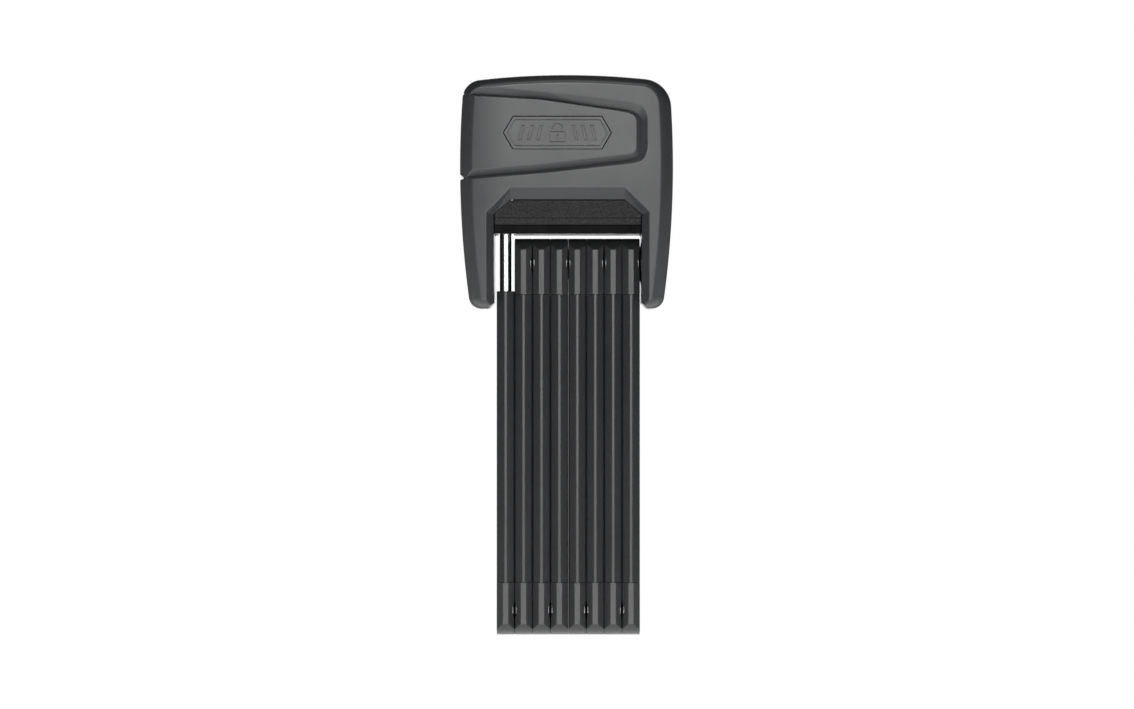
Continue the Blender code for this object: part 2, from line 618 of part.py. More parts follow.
def build_housing():
    front = soft_block("housing_front", rear_y=PARTING_Y)
    pocket = panel_prism("panel_pocket", "outer", GAP)
    combine(pocket, soft_block("pocket_floor", PANEL_THICKNESS + GAP, rear_y=PARTING_Y + OVERSHOOT))
    combine(front, pocket)
    combine(front, side_groove("upper_side_groove", UPPER_SIDE_NOTCH))
    combine(front, side_groove("lower_side_groove", LOWER_SIDE_NOTCH))
    face_y = -HOUSING_HALF_DEPTH
    slope_end = face_y + OPENING_CHAMFER_DEPTH
    wide = opening_outline(OPENING_CHAMFER_SIDE * 2, OPENING_CHAMFER_TOP * 2)
    tight = opening_outline(0, 0)
    combine(front, loft("opening_chamfer", wide, face_y - OPENING_CHAMFER_DEPTH, tight, slope_end))
    combine(front, prism("opening_front", tight, XZ_PLANE, slope_end - LAP, CASE_FRONT_Y))
    combine(front, prism("leg_cut", leg_cut_outline(), XZ_PLANE, face_y - MM, PARTING_Y + MM))
    low = HOUSING_LEG_Z - OVERSHOOT
    beyond = PARTING_Y + OVERSHOOT
    combine(front, box("neck_space", (OPENING_LEFT_X, OPENING_RIGHT_X), (CASE_FRONT_Y - GAP, beyond),
                       (low, CASE_NECK_Z)))
    combine(front, box("case_space", (CASE_LEFT_X - GAP, OPENING_RIGHT_X), (CASE_FRONT_Y - GAP, beyond),
                       (CASE_NECK_Z - MM, CASE_TOP_Z + GAP)))
    combine(front, rod("cylinder_space", "X", CYLINDER_RADIUS + GAP, -BEYOND, CASE_LEFT_X + MM,
                       (0, CYLINDER_AXIS_Z), 20))
    combine(front, box("cylinder_entry", (CYLINDER_LEFT_X - OVERSHOOT, CASE_LEFT_X + MM), (0, beyond),
                       (CYLINDER_AXIS_Z - CYLINDER_RADIUS - GAP, CYLINDER_AXIS_Z + CYLINDER_RADIUS + GAP)))
    combine(front, box("plate_space", (PLATE_X[0] - GAP, PLATE_HEAD_X + GAP), (PLATE_Y[0] - GAP, beyond),
                       (PLATE_Z[0] - GAP, PLATE_Z[1] + GAP)))
    combine(front, rod("leg_rivet_hole", "X", RIVET_SHAFT_RADIUS + GAP, 0, PLATE_X[1],
                       (0, UPPER_PIVOT_Z), 16))
    combine(front, rod("leg_collar_seat", "X", COLLAR_RADIUS + GAP, 0, LEG_COLLAR_X[1] + GAP,
                       (0, UPPER_PIVOT_Z), 20))
    bore_radius = SCREW_SHANK_RADIUS + GAP
    for x, z in SCREW_PLACES:
        combine(front, rod("screw_bore", "Y", bore_radius, SCREW_TIP_Y - GAP, beyond, (x, z), 12))
    place(front, "housing_front", MATERIALS["housing"])

    rear = soft_block("housing_rear", front_y=PARTING_Y + GAP)
    combine(rear, side_groove("rear_upper_groove", UPPER_SIDE_NOTCH))
    combine(rear, side_groove("rear_lower_groove", LOWER_SIDE_NOTCH))
    combine(rear, box("rear_opening", (OPENING_LEFT_X, OPENING_RIGHT_X), (0, BEYOND),
                      (low, CASE_UNDERSIDE_Z)))
    combine(rear, prism("rear_leg_cut", leg_cut_outline(), XZ_PLANE, 0, BEYOND))
    combine(rear, box("rear_tongue_slot", SLOT_X, (0, BEYOND), (CASE_UNDERSIDE_Z - OVERSHOOT, SLOT_TOP_Z)))
    head_y = HOUSING_HALF_DEPTH - SCREW_HEAD_SINK
    seat = (head_y - SCREW_HEAD_HEIGHT - GAP, BEYOND)
    for x, z in SCREW_PLACES:
        combine(rear, rod("screw_hole", "Y", bore_radius, 0, BEYOND, (x, z), 12))
        combine(rear, rod("screw_seat", "Y", SCREW_HEAD_RADIUS + GAP, *seat, (x, z), 16))
    place(rear, "housing_rear", MATERIALS["housing"])


def build_front_panel():
    panel = soft_block("front_panel", rear_y=PARTING_Y - MM)
    combine(panel, panel_prism("panel_region", "face", -GAP), "INTERSECT")
    combine(panel, soft_block("panel_inside", PANEL_THICKNESS, rear_y=PARTING_Y + OVERSHOOT))
    combine(panel, side_groove("panel_upper_groove", UPPER_SIDE_NOTCH))
    combine(panel, side_groove("panel_lower_groove", LOWER_SIDE_NOTCH))
    combine(panel, rod("panel_keyhole", "X", KEYHOLE_RADIUS, -BEYOND, CASE_LEFT_X,
                       (0, CYLINDER_AXIS_Z), 16))
    combine(panel, box("shutter_mouth", (-BEYOND, SHUTTER_LIP_X), (-SHUTTER_MOUTH, SHUTTER_MOUTH),
                       SHUTTER_RECESS_Z))
    combine(panel, box("shutter_rails", (SHUTTER_LIP_X - LAP, SHUTTER_FLOOR_X),
                       (-SHUTTER_RAIL, SHUTTER_RAIL), SHUTTER_RECESS_Z))
    combine(panel, prism("emblem_recess", EMBLEM_OUTLINE, XZ_PLANE, -BEYOND,
                         -HOUSING_HALF_DEPTH + EMBLEM_DEPTH))
    place(panel, "front_panel", MATERIALS["panel"])


def build_shutter():
    """Slider with an outer tab between the lips, a wider flange in the rails, and three ribs."""
    tab = box("keyway_shutter", (SHUTTER_FACE_X, SHUTTER_X[1]), (-SHUTTER_MOUTH + GAP, SHUTTER_MOUTH - GAP),
              SHUTTER_Z)
    flange = box("shutter_flange", SHUTTER_X, (-SHUTTER_RAIL + GAP, SHUTTER_RAIL - GAP), SHUTTER_Z)
    combine(tab, flange, "UNION")
    for rib in (-1, 0, 1):
        low = CYLINDER_AXIS_Z + rib * SHUTTER_RIB_PITCH - SHUTTER_RIB_WIDTH / 2
        ridge = box("shutter_ridge", (SHUTTER_FACE_X - SHUTTER_RIB_HEIGHT, SHUTTER_X[0]),
                    (-SHUTTER_RIB_HALF_LENGTH, SHUTTER_RIB_HALF_LENGTH), (low, low + SHUTTER_RIB_WIDTH))
        combine(tab, ridge, "UNION")
    return place(tab, "keyway_shutter", MATERIALS["shutter"])


# ---------------------------------------------------------------- parts inside the housing

def build_lock_case():
    outline = ((NECK_LEFT_X, CASE_UNDERSIDE_Z), (CASE_RIGHT_X, CASE_UNDERSIDE_Z),
               (CASE_RIGHT_X, CASE_TOP_Z), (CASE_LEFT_X, CASE_TOP_Z), (CASE_LEFT_X, CASE_NECK_Z),
               (NECK_LEFT_X, CASE_NECK_Z))
    case = prism("lock_case", outline, XZ_PLANE, CASE_FRONT_Y, CASE_REAR_Y)
    low = CASE_UNDERSIDE_Z - OVERSHOOT
    channel_z = (BOLT_BEAM_Z[0] - 2 * GAP, BOLT_BEAM_Z[1] + 2 * GAP)
    combine(case, box("tongue_slot", SLOT_X, (-TONGUE_HALF_DEPTH - MM, BEYOND), (low, SLOT_TOP_Z)))
    combine(case, box("nose_channel", NOSE_CHANNEL_X, (-BEYOND, -TONGUE_HALF_DEPTH + NOTCH_DEPTH + GAP),
                      (BOLT_NOSE_Z[0] - 2 * GAP, channel_z[1] - STEP)))
    combine(case, box("beam_channel", (NOSE_CHANNEL_X[0] + STEP, MECHANISM_X[1] - STEP),
                      (-BEYOND, BOLT_BEAM_Y[1] + BOLT_TRAVEL + GAP), channel_z))
    combine(case, box("mechanism_pocket", MECHANISM_X, (-BEYOND, BEYOND),
                      (channel_z[0] + STEP, MECHANISM_TOP_Z)))
    combine(case, rod("cylinder_bore", "X", CYLINDER_RADIUS + GAP, -BEYOND, MECHANISM_X[0] + MM,
                      (0, CYLINDER_AXIS_Z), 24))
    combine(case, rod("pin_bore", "Y", CYLINDER_PIN_RADIUS + GAP, CYLINDER_PIN_Y[0] - GAP, BEYOND,
                      CYLINDER_PIN_XZ, 12))
    place(case, "lock_case", MATERIALS["case"])


def build_trim():
    """Grained strip in front of the case neck, with a plain lip set back below the grain."""
    front, rear = TRIM_Y
    profile = [(front, TRIM_TOP_Z), (front, TRIM_TURN_Z), (front + TRIM_STEP_BACK, TRIM_LIP_Z),
               (front + TRIM_STEP_BACK, TRIM_FOOT_Z), (rear, TRIM_FOOT_Z), (rear, TRIM_TOP_Z)]
    trim = prism("trim", profile[::-1], YZ_PLANE, OPENING_LEFT_X + GAP, OPENING_RIGHT_X - GAP)
    region = prism("trim_region", opening_outline(-GAP, -GAP), XZ_PLANE, -BEYOND, 0)
    combine(trim, region, "INTERSECT")
    place(trim, "grained_trim", MATERIALS["trim"])


def build_cylinder():
    axis = (0, CYLINDER_AXIS_Z)
    body = rod("cylinder_body", "X", CYLINDER_RADIUS, CYLINDER_LEFT_X, CYLINDER_RIGHT_X, axis, 24)
    combine(body, rod("plug_bore", "X", PLUG_RADIUS + GAP, -BEYOND, 0, axis, 20))
    combine(body, rod("pin_groove", "Y", CYLINDER_PIN_RADIUS + GAP, CYLINDER_PIN_Y[0] - GAP, BEYOND,
                      CYLINDER_PIN_XZ, 12))
    place(body, "cylinder_body", MATERIALS["cylinder"])
    pin = rod("pin", "Y", CYLINDER_PIN_RADIUS, *CYLINDER_PIN_Y, CYLINDER_PIN_XZ, 12)
    place(pin, "cylinder_pin", MATERIALS["screw"])
    turn = joint_empty("key_turn_joint", (CYLINDER_LEFT_X, 0, CYLINDER_AXIS_Z))
    plug = rod("key_plug", "X", PLUG_RADIUS, CYLINDER_LEFT_X, CYLINDER_RIGHT_X + GAP, axis, 20)
    combine(plug, box("keyway", (-BEYOND, KEYWAY_END_X), (-KEYWAY_HALF_WIDTH, KEYWAY_HALF_WIDTH),
                      (CYLINDER_AXIS_Z - KEYWAY_HALF_HEIGHT, CYLINDER_AXIS_Z + KEYWAY_HALF_HEIGHT)))
    place(plug, "key_plug", MATERIALS["cylinder"], turn)
    cam = rod("cam", "X", CAM_RADIUS, *CAM_X, axis, 20)
    pin_side = CAM_PIN_OFFSET / math.sqrt(2)
    combine(cam, rod("cam_pin", "X", CAM_PIN_RADIUS, CAM_X[1] - 0.5 * MM, CAM_PIN_END_X,
                     (-pin_side, CYLINDER_AXIS_Z - pin_side), 12), "UNION")
    place(cam, "cam", MATERIALS["cylinder"], turn)


def build_deadbolt():
    """Slotted plate that the cam pin moves, a beam under the cylinder, and a hooked nose."""
    front_y = BOLT_BEAM_Y[0]
    left_x, right_x = BOLT_NOSE_X
    plate = box("deadbolt", BOLT_PLATE_X, (front_y + STEP, BOLT_PLATE_REAR_Y),
                (BOLT_BEAM_Z[0] + STEP, BOLT_PLATE_TOP_Z))
    combine(plate, box("bolt_beam", (left_x, BOLT_PLATE_X[1] - STEP), BOLT_BEAM_Y, BOLT_BEAM_Z), "UNION")
    combine(plate, box("bolt_neck", (left_x + STEP, right_x - STEP), (front_y + STEP, BOLT_NECK_Y),
                       (BOLT_NOSE_Z[0] + STEP, BOLT_BEAM_Z[1] - STEP)), "UNION")
    combine(plate, box("bolt_nose", (left_x + 2 * STEP, right_x - 2 * STEP),
                       (front_y + 2 * STEP, BOLT_NOSE_Y), BOLT_NOSE_Z), "UNION")
    pin_side = CAM_PIN_OFFSET / math.sqrt(2)
    half = CAM_PIN_RADIUS + BOLT_SLOT_PLAY
    slot_z = (CYLINDER_AXIS_Z - CAM_PIN_OFFSET - half, CYLINDER_AXIS_Z - pin_side + half)
    combine(plate, box("bolt_slot", (-BEYOND, 0), (-pin_side - half, -pin_side + half), slot_z))
    place(plate, "deadbolt", MATERIALS["screw"])


def build_hinge_plate():
    """Steel plate in the right leg, with the last bar's rivet through it."""
    plate = box("hinge_plate", PLATE_X, PLATE_Y, PLATE_Z)
    combine(plate, rod("plate_hole", "X", RIVET_SHAFT_RADIUS + GAP, 0, BEYOND, (0, UPPER_PIVOT_Z), 16))
    place(plate, "hinge_plate", MATERIALS["link"])
    right = PLATE_HEAD_X
    made = rivet("body_rivet", head_face(BAR_COUNT, -1), right, LEG_COLLAR_X, UPPER_PIVOT_Z)
    place(made, "rivet_8_body", MATERIALS["rivet"])


def build_screws():
    head_y = HOUSING_HALF_DEPTH - SCREW_HEAD_SINK
    neck_y = head_y - SCREW_HEAD_HEIGHT
    profile = [(SCREW_TIP_Y, 0), (SCREW_TIP_Y, SCREW_SHANK_RADIUS), (neck_y, SCREW_SHANK_RADIUS),
               (neck_y, SCREW_HEAD_RADIUS), (head_y, SCREW_HEAD_RADIUS), (head_y, 0)]
    socket_floor = head_y - SCREW_SOCKET_DEPTH
    for number, (x, z) in enumerate(SCREW_PLACES, start=1):
        screw = turned("screw", profile, "Y", (x, 0, z), 16)
        finish_mesh(screw.data)
        combine(screw, rod("hex_socket", "Y", SCREW_SOCKET_RADIUS, socket_floor, BEYOND, (x, z), 6))
        place(screw, f"housing_screw_{number}", MATERIALS["screw"])


# ---------------------------------------------------------------- derived places

LAST_LINK_FACE_X = bar_x(BAR_COUNT) + LINK_THICKNESS / 2
LEG_COLLAR_X = (LAST_LINK_FACE_X + GAP, LAST_LINK_FACE_X + 2.2 * MM)
PLATE_X = (33.8 * MM, 36.8 * MM)
PLATE_Y = (-9.0 * MM, 9.0 * MM)
PLATE_Z = (146.5 * MM, 200.0 * MM)
PLATE_HEAD_X = PLATE_X[1] + GAP + RIVET_HEAD_THICKNESS

SCREW_PLACES = ((-36.0 * MM, 226.0 * MM), (36.0 * MM, 226.0 * MM), (-36.5 * MM, 143.5 * MM),
                (36.9 * MM, 142.6 * MM))
SCREW_SHANK_RADIUS = 1.5 * MM
SCREW_HEAD_RADIUS = 2.5 * MM
SCREW_HEAD_HEIGHT = 2.0 * MM
SCREW_HEAD_SINK = 1.5 * MM
SCREW_TIP_Y = 4.0 * MM
SCREW_SOCKET_RADIUS = 1.3 * MM
SCREW_SOCKET_DEPTH = 1.2 * MM

NECK_LEFT_X = OPENING_LEFT_X + GAP
SLOT_X = (bar_x(1) - LINK_THICKNESS / 2 - 0.8 * MM, bar_x(1) + LINK_THICKNESS / 2 + 0.8 * MM)
SLOT_TOP_Z = 183.9 * MM

BOLT_NOSE_X = (bar_x(1) - 2.5 * MM, bar_x(1) + 2.5 * MM)
BOLT_NOSE_Z = (173.0 * MM, 178.0 * MM)
BOLT_NOSE_Y = -6.8 * MM
BOLT_NECK_Y = -10.8 * MM
BOLT_BEAM_Y = (-12.8 * MM, -9.0 * MM)
BOLT_BEAM_Z = (186.0 * MM, 190.0 * MM)
BOLT_PLATE_X = (-10.7 * MM, -7.3 * MM)
BOLT_PLATE_REAR_Y = 3.0 * MM
BOLT_PLATE_TOP_Z = 209.5 * MM
BOLT_SLOT_PLAY = 0.45 * MM
NOSE_CHANNEL_X = (BOLT_NOSE_X[0] - 0.5 * MM, BOLT_NOSE_X[1] + 0.5 * MM)
MECHANISM_X = (-13.0 * MM, -6.7 * MM)
MECHANISM_TOP_Z = 213.8 * MM

KEYWAY_END_X = -20.0 * MM
KEYWAY_HALF_WIDTH = 1.1 * MM
KEYWAY_HALF_HEIGHT = 3.8 * MM
CAM_RADIUS = 6.0 * MM
CAM_X = (-12.9 * MM, -11.2 * MM)
CAM_PIN_RADIUS = 1.2 * MM
CAM_PIN_END_X = -7.0 * MM
CYLINDER_PIN_RADIUS = 1.25 * MM
CYLINDER_PIN_Y = (-4.0 * MM, 11.2 * MM)
CYLINDER_PIN_XZ = (-25.0 * MM, CYLINDER_AXIS_Z + CYLINDER_RADIUS - 0.4 * MM)

SHUTTER_FLOOR_X = -42.0 * MM
SHUTTER_LIP_X = -43.0 * MM
SHUTTER_X = (-42.85 * MM, -42.15 * MM)
SHUTTER_FACE_X = -43.3 * MM
SHUTTER_MOUTH = 4.7 * MM
SHUTTER_RAIL = 5.8 * MM
SHUTTER_Z = (CYLINDER_AXIS_Z - 5.1 * MM, CYLINDER_AXIS_Z + 5.1 * MM)
SHUTTER_RECESS_Z = (SHUTTER_Z[0] - GAP, SHUTTER_Z[1] + SHUTTER_TRAVEL + GAP)
SHUTTER_RIB_PITCH = 2.4 * MM
SHUTTER_RIB_WIDTH = 1.0 * MM
SHUTTER_RIB_HALF_LENGTH = 3.2 * MM
SHUTTER_RIB_HEIGHT = 0.4 * MM

TRIM_Y = (-16.4 * MM, -13.3 * MM)
TRIM_TOP_Z = OPENING_TOP_Z - GAP
TRIM_TURN_Z = 175.3 * MM
TRIM_LIP_Z = 174.6 * MM
TRIM_STEP_BACK = 1.3 * MM
TRIM_FOOT_Z = 172.0 * MM

EMBLEM_DEPTH = 0.5 * MM
EMBLEM_MIDDLE = (-3.8 * MM, 209.9 * MM)
EMBLEM_HALF_LENGTH = 22.5 * MM
EMBLEM_HALF_HEIGHT = 6.9 * MM
EMBLEM_POINT = 4.0 * MM
EMBLEM_OUTLINE = [(EMBLEM_MIDDLE[0] + across * (EMBLEM_HALF_LENGTH - back), EMBLEM_MIDDLE[1] + up)
                  for across, back, up in ((-1, 0, 0), (-1, EMBLEM_POINT, -EMBLEM_HALF_HEIGHT),
                                           (1, EMBLEM_POINT, -EMBLEM_HALF_HEIGHT), (1, 0, 0),
                                           (1, EMBLEM_POINT, EMBLEM_HALF_HEIGHT),
                                           (-1, EMBLEM_POINT, EMBLEM_HALF_HEIGHT))]


# ---------------------------------------------------------------- build

clear_scene()
LOCK = make_collection("folding_bike_lock")
CUTTERS = make_collection("cutters")
MATERIALS = {
    "housing": make_material("housing_plastic", (0.085, 0.087, 0.09), 0.45, 0.0),
    "panel": make_material("panel_plastic", (0.09, 0.092, 0.095), 0.42, 0.0),
    "trim": make_material("grained_plastic", (0.02, 0.02, 0.021), 0.6, 0.0),
    "cap": make_material("cap_plastic", (0.06, 0.061, 0.063), 0.42, 0.0),
    "sleeve": make_material("sleeve_plastic", (0.03, 0.031, 0.032), 0.35, 0.0),
    "link": make_material("plated_steel", (0.75, 0.75, 0.76), 0.12, 1.0),
    "rivet": make_material("bright_rivet", (0.8, 0.8, 0.8), 0.18, 1.0),
    "case": make_material("cast_zinc", (0.05, 0.05, 0.052), 0.5, 1.0),
    "cylinder": make_material("cylinder_brass", (0.7, 0.62, 0.45), 0.3, 1.0),
    "screw": make_material("hard_steel", (0.45, 0.45, 0.46), 0.3, 1.0),
    "shutter": make_material("shutter_plastic", (0.03, 0.03, 0.031), 0.4, 0.0),
}

build_housing()
build_front_panel()
build_shutter()
build_lock_case()
build_trim()
build_cylinder()
build_deadbolt()
build_hinge_plate()
build_screws()
build_bars()
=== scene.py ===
"""Looks of the folding bike lock: finely made shells, bars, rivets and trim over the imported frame.

Metres, +Z up, the lock body's front towards -Y. Outer sizes and pivots are read from the frame's boxes and
joints; the finer shapes between them are named or stated here, mostly in millimetres.
"""
import json
import math

import bmesh
import bpy
from mathutils import Matrix, Vector, noise


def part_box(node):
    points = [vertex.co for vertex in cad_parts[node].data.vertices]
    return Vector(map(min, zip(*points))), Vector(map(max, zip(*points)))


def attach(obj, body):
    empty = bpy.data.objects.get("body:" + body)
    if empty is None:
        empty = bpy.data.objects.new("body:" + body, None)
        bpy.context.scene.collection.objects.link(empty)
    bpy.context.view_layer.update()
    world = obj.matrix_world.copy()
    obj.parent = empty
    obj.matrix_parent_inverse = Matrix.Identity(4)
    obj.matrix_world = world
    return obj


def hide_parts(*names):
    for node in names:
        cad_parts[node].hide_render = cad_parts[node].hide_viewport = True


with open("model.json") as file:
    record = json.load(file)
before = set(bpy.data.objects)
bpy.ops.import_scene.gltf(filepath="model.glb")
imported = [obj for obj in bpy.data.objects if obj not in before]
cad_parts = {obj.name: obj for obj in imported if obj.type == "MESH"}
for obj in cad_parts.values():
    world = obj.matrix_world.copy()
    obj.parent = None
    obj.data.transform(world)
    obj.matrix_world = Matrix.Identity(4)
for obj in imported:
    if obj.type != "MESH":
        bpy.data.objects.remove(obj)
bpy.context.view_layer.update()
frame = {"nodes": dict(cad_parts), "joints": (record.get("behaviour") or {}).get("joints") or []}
MM = 0.001
GAP = 0.3 * MM
BAR_COUNT = 8


# ---------------------------------------------------------------- places read from the frame

def joint_place(name):
    return next(Vector(joint["pos_m"]) for joint in frame["joints"] if joint["name"] == name)


BAR_X = {number: joint_place(f"bar_{number}_fold").x for number in range(1, BAR_COUNT + 1)}
LOWER_PIVOT_Z = joint_place("bar_1_fold").z
UPPER_PIVOT_Z = joint_place("bar_8_fold").z
KEY_AXIS_Z = joint_place("key_turn").z

CAP_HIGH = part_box("bar_2_lower_cap")[1]
BAR_PITCH = BAR_X[2] - BAR_X[1]
COVER_HALF = BAR_PITCH / 2 - 0.02 * MM
COVER_DEPTH = CAP_HIGH.y
LOWER_CAP_TOP = CAP_HIGH.z
UPPER_CAP_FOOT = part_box("bar_2_upper_cap")[0].z
SLEEVE_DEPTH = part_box("bar_2_sleeve")[1].y
LINK_HALF = (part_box("bar_2_link")[1].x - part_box("bar_2_link")[0].x) / 2
LINK_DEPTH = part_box("bar_2_link")[1].y
COLLAR_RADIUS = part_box("rivet_1_2")[1].y
COLLAR_END_X = BAR_X[BAR_COUNT] + LINK_HALF + 2.2 * MM
TONGUE_LOW, TONGUE_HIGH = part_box("bar_1_tongue")
TONGUE_COVER_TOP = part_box("bar_1_sleeve")[1].z

FRONT_LOW, FRONT_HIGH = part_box("housing_front")
HALF_WIDTH = FRONT_HIGH.x
HALF_DEPTH = -FRONT_LOW.y
TOP_Z = FRONT_HIGH.z
LEG_Z = FRONT_LOW.z
PARTING_Y = FRONT_HIGH.y
PANEL_REAR_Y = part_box("front_panel")[1].y

SIDE_RADIUS = 410 * MM
SIDE_MIDDLE_Z = 196.3 * MM
TOP_RADIUS = 320 * MM
CORNERS = {"left": 8 * MM, "right": 12 * MM}
LEG_CORNER = 5 * MM
FRONT_EDGE = (5.2 * MM, 9.0 * MM, 4.0 * MM)
REAR_EDGE = (4.0 * MM, 4.0 * MM, 3.0 * MM)
EDGE_FLATNESS = 1.45

OPENING_LEFT = -30.34 * MM
OPENING_RIGHT = 31.39 * MM
OPENING_TOP = 182.3 * MM
SHOULDER_Z = 176.15 * MM
SHOULDER_WIDTH = 7.3 * MM
CHAMFER_SIDE = 3.0 * MM
CHAMFER_TOP = 5.0 * MM
CHAMFER_DEPTH = 4.0 * MM
LEG_CUT = 2.4 * MM
CASE_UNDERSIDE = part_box("lock_case")[0].z
CASE_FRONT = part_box("lock_case")[0].y
REAR_FRONT_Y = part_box("housing_rear")[0].y
SLOT_HALF = 3.3 * MM
SLOT_TOP = 183.9 * MM
SCREW_HEAD_RADIUS = 2.5 * MM
SCREW_PLACES = [sum(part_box(f"housing_screw_{number}"), Vector()) / 2 for number in range(1, 5)]
GROOVE_DEPTH = 2.0 * MM
SIDE_NOTCH = 1.55 * MM
PANEL_THICKNESS = 3.5 * MM


# ---------------------------------------------------------------- helpers

GUIDES = bpy.data.collections.new("guides")
bpy.context.scene.collection.children.link(GUIDES)
OBJECT = bpy.data.collections.new("lock_pieces")
bpy.context.scene.collection.children.link(OBJECT)

YZ_PLANE = Matrix(((0, 0, 1), (1, 0, 0), (0, 1, 0))).to_4x4()
XZ_PLANE = Matrix(((1, 0, 0), (0, 0, -1), (0, 1, 0))).to_4x4()
XY_PLANE = Matrix.Identity(4)


def add_object(name, mesh, where=None):
    made = bpy.data.objects.new(name, mesh)
    (where or GUIDES).objects.link(made)
    return made


def mesh_of(shape, name):
    bmesh.ops.recalc_face_normals(shape, faces=shape.faces)
    mesh = bpy.data.meshes.new(name)
    shape.to_mesh(mesh)
    shape.free()
    return mesh


def loft(name, loops):
    """A closed solid through loops of points, each the same length, with flat ends."""
    shape = bmesh.new()
    rows = [[shape.verts.new(point) for point in loop] for loop in loops]
    count = len(rows[0])
    for near, far in zip(rows, rows[1:]):
        for index in range(count):
            after = (index + 1) % count
            shape.faces.new((near[index], near[after], far[after], far[index]))
    shape.faces.new(rows[0])
    shape.faces.new(rows[-1])
    return add_object(name, mesh_of(shape, name))


def prism(name, outline, plane, low, high):
    """A flat outline with thickness along the axis that crosses its plane."""
    if plane is YZ_PLANE:
        loops = [[(x, u, v) for u, v in outline] for x in (low, high)]
    elif plane is XY_PLANE:
        loops = [[(u, v, z) for u, v in outline] for z in (low, high)]
    else:
        loops = [[(u, y, v) for u, v in outline] for y in (low, high)]
    return loft(name, loops)


def box(name, x, y, z):
    outline = ((x[0], z[0]), (x[1], z[0]), (x[1], z[1]), (x[0], z[1]))
    return prism(name, outline, XZ_PLANE, *y)


def rod(name, axis, radius, low, high, centre, segments=48):
    angles = [2 * math.pi * step / segments for step in range(segments)]
    ring = [(centre[0] + radius * math.cos(a), centre[1] + radius * math.sin(a)) for a in angles]
    return prism(name, ring, YZ_PLANE if axis == "X" else XZ_PLANE, low, high)


def arc(centre, radius, start, end, steps):
    angles = [math.radians(start + (end - start) * step / steps) for step in range(steps + 1)]
    return [(centre[0] + radius * math.cos(a), centre[1] + radius * math.sin(a)) for a in angles]


def eased(outline, radius, steps=5):
    """The outline with rounded corners: each becomes a curve that starts and ends within the radius."""
    points = [Vector(point) for point in outline]
    result = []
    for before, corner, after in zip(points[-1:] + points[:-1], points, points[1:] + points[:1]):
        reach = min(radius, (before - corner).length * 0.45, (after - corner).length * 0.45)
        start = corner + (before - corner).normalized() * reach
        end = corner + (after - corner).normalized() * reach
        for step in range(steps + 1):
            part = step / steps
            point = start.lerp(corner, part).lerp(corner.lerp(end, part), part)
            result.append((point.x, point.y))
    return result


def inset(outline, distance):
    """The outline, counter-clockwise, with every side moved inward by the distance."""
    points = [Vector(point) for point in outline]
    result = []
    for before, corner, after in zip(points[-1:] + points[:-1], points, points[1:] + points[:1]):
        first, second = (corner - before).normalized(), (after - corner).normalized()
        inward = Vector((-first.y - second.y, first.x + second.x)).normalized()
        side = Vector((-first.y, first.x))
        point = corner + inward * distance / max(inward.dot(side), 0.3)
        result.append((point.x, point.y))
    return result


def combine(target, other, operation="DIFFERENCE"):
    step = target.modifiers.new(operation.lower(), "BOOLEAN")
    step.operation = operation
    step.solver = "EXACT"
    step.object = other
    other.hide_render = True
    other.display_type = "WIRE"
    return target


def softened(made, width, segments=3, degrees=25):
    """Small rounding on every edge sharper than the angle, with the flat faces kept flat-looking."""
    step = made.modifiers.new("rounding", "BEVEL")
    step.width = width
    step.segments = segments
    step.limit_method = "ANGLE"
    step.angle_limit = math.radians(degrees)
    step.harden_normals = True
    return made


def turned(name, profile, axis, origin, segments=48):
    """A solid of revolution: profile points are (place along the axis, radius), low end first."""
    shape = bmesh.new()
    rings = []
    for place, radius in profile:
        if radius == 0:
            rings.append([shape.verts.new((place, 0, 0))])
            continue
        angles = [2 * math.pi * step / segments for step in range(segments)]
        rings.append([shape.verts.new((place, radius * math.cos(a), radius * math.sin(a)))
                      for a in angles])
    for near, far in zip(rings, rings[1:]):
        for index in range(segments):
            after = (index + 1) % segments
            corners = [near[index % len(near)], near[after % len(near)], far[after % len(far)],
                       far[index % len(far)]]
            shape.faces.new(list(dict.fromkeys(corners)))
    if axis == "Y":
        bmesh.ops.rotate(shape, verts=shape.verts, matrix=Matrix.Rotation(math.pi / 2, 3, "Z"))
    bmesh.ops.translate(shape, verts=shape.verts, vec=origin)
    return add_object(name, mesh_of(shape, name))


def evaluated(made, name):
    bpy.context.view_layer.update()
    graph = bpy.context.evaluated_depsgraph_get()
    mesh = bpy.data.meshes.new_from_object(made.evaluated_get(graph))
    mesh.name = name
    return mesh


def settle(made, name, smooth_degrees=32):
    """The object after its modifiers, as a finished mesh whose large faces shade flat; its guides go."""
    mesh = evaluated(made, name)
    for item in [step.object for step in made.modifiers if step.type == "BOOLEAN"] + [made]:
        bpy.data.objects.remove(item, do_unlink=True)
    mesh.shade_smooth()
    if smooth_degrees is not None:
        mesh.set_sharp_from_angle(angle=math.radians(smooth_degrees))
    shaded = add_object(name, mesh)
    step = shaded.modifiers.new("flat_faces", "WEIGHTED_NORMAL")
    step.keep_sharp = True
    finished = evaluated(shaded, name)
    bpy.data.objects.remove(shaded, do_unlink=True)
    return finished


def moulded(made, voxel, rounds, keep=1.0):
    """Turn a cut-out solid into one moulded skin, whose edges are softened like a real moulding's."""
    skin = made.modifiers.new("skin", "REMESH")
    skin.mode = "VOXEL"
    skin.voxel_size = voxel
    soft = made.modifiers.new("soft", "SMOOTH")
    soft.factor = 0.5
    soft.iterations = rounds
    if keep < 1.0:
        thin = made.modifiers.new("thin", "DECIMATE")
        thin.ratio = keep
    return made


def piece(mesh, name, material, body, node=None):
    """A finished piece: named, given its material, riding on its body in place of its CAD node."""
    mesh.materials.clear()
    mesh.materials.append(material)
    made = add_object(name, mesh, OBJECT)
    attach(made, body)
    if node:
        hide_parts(node)
    return made


# ---------------------------------------------------------------- materials

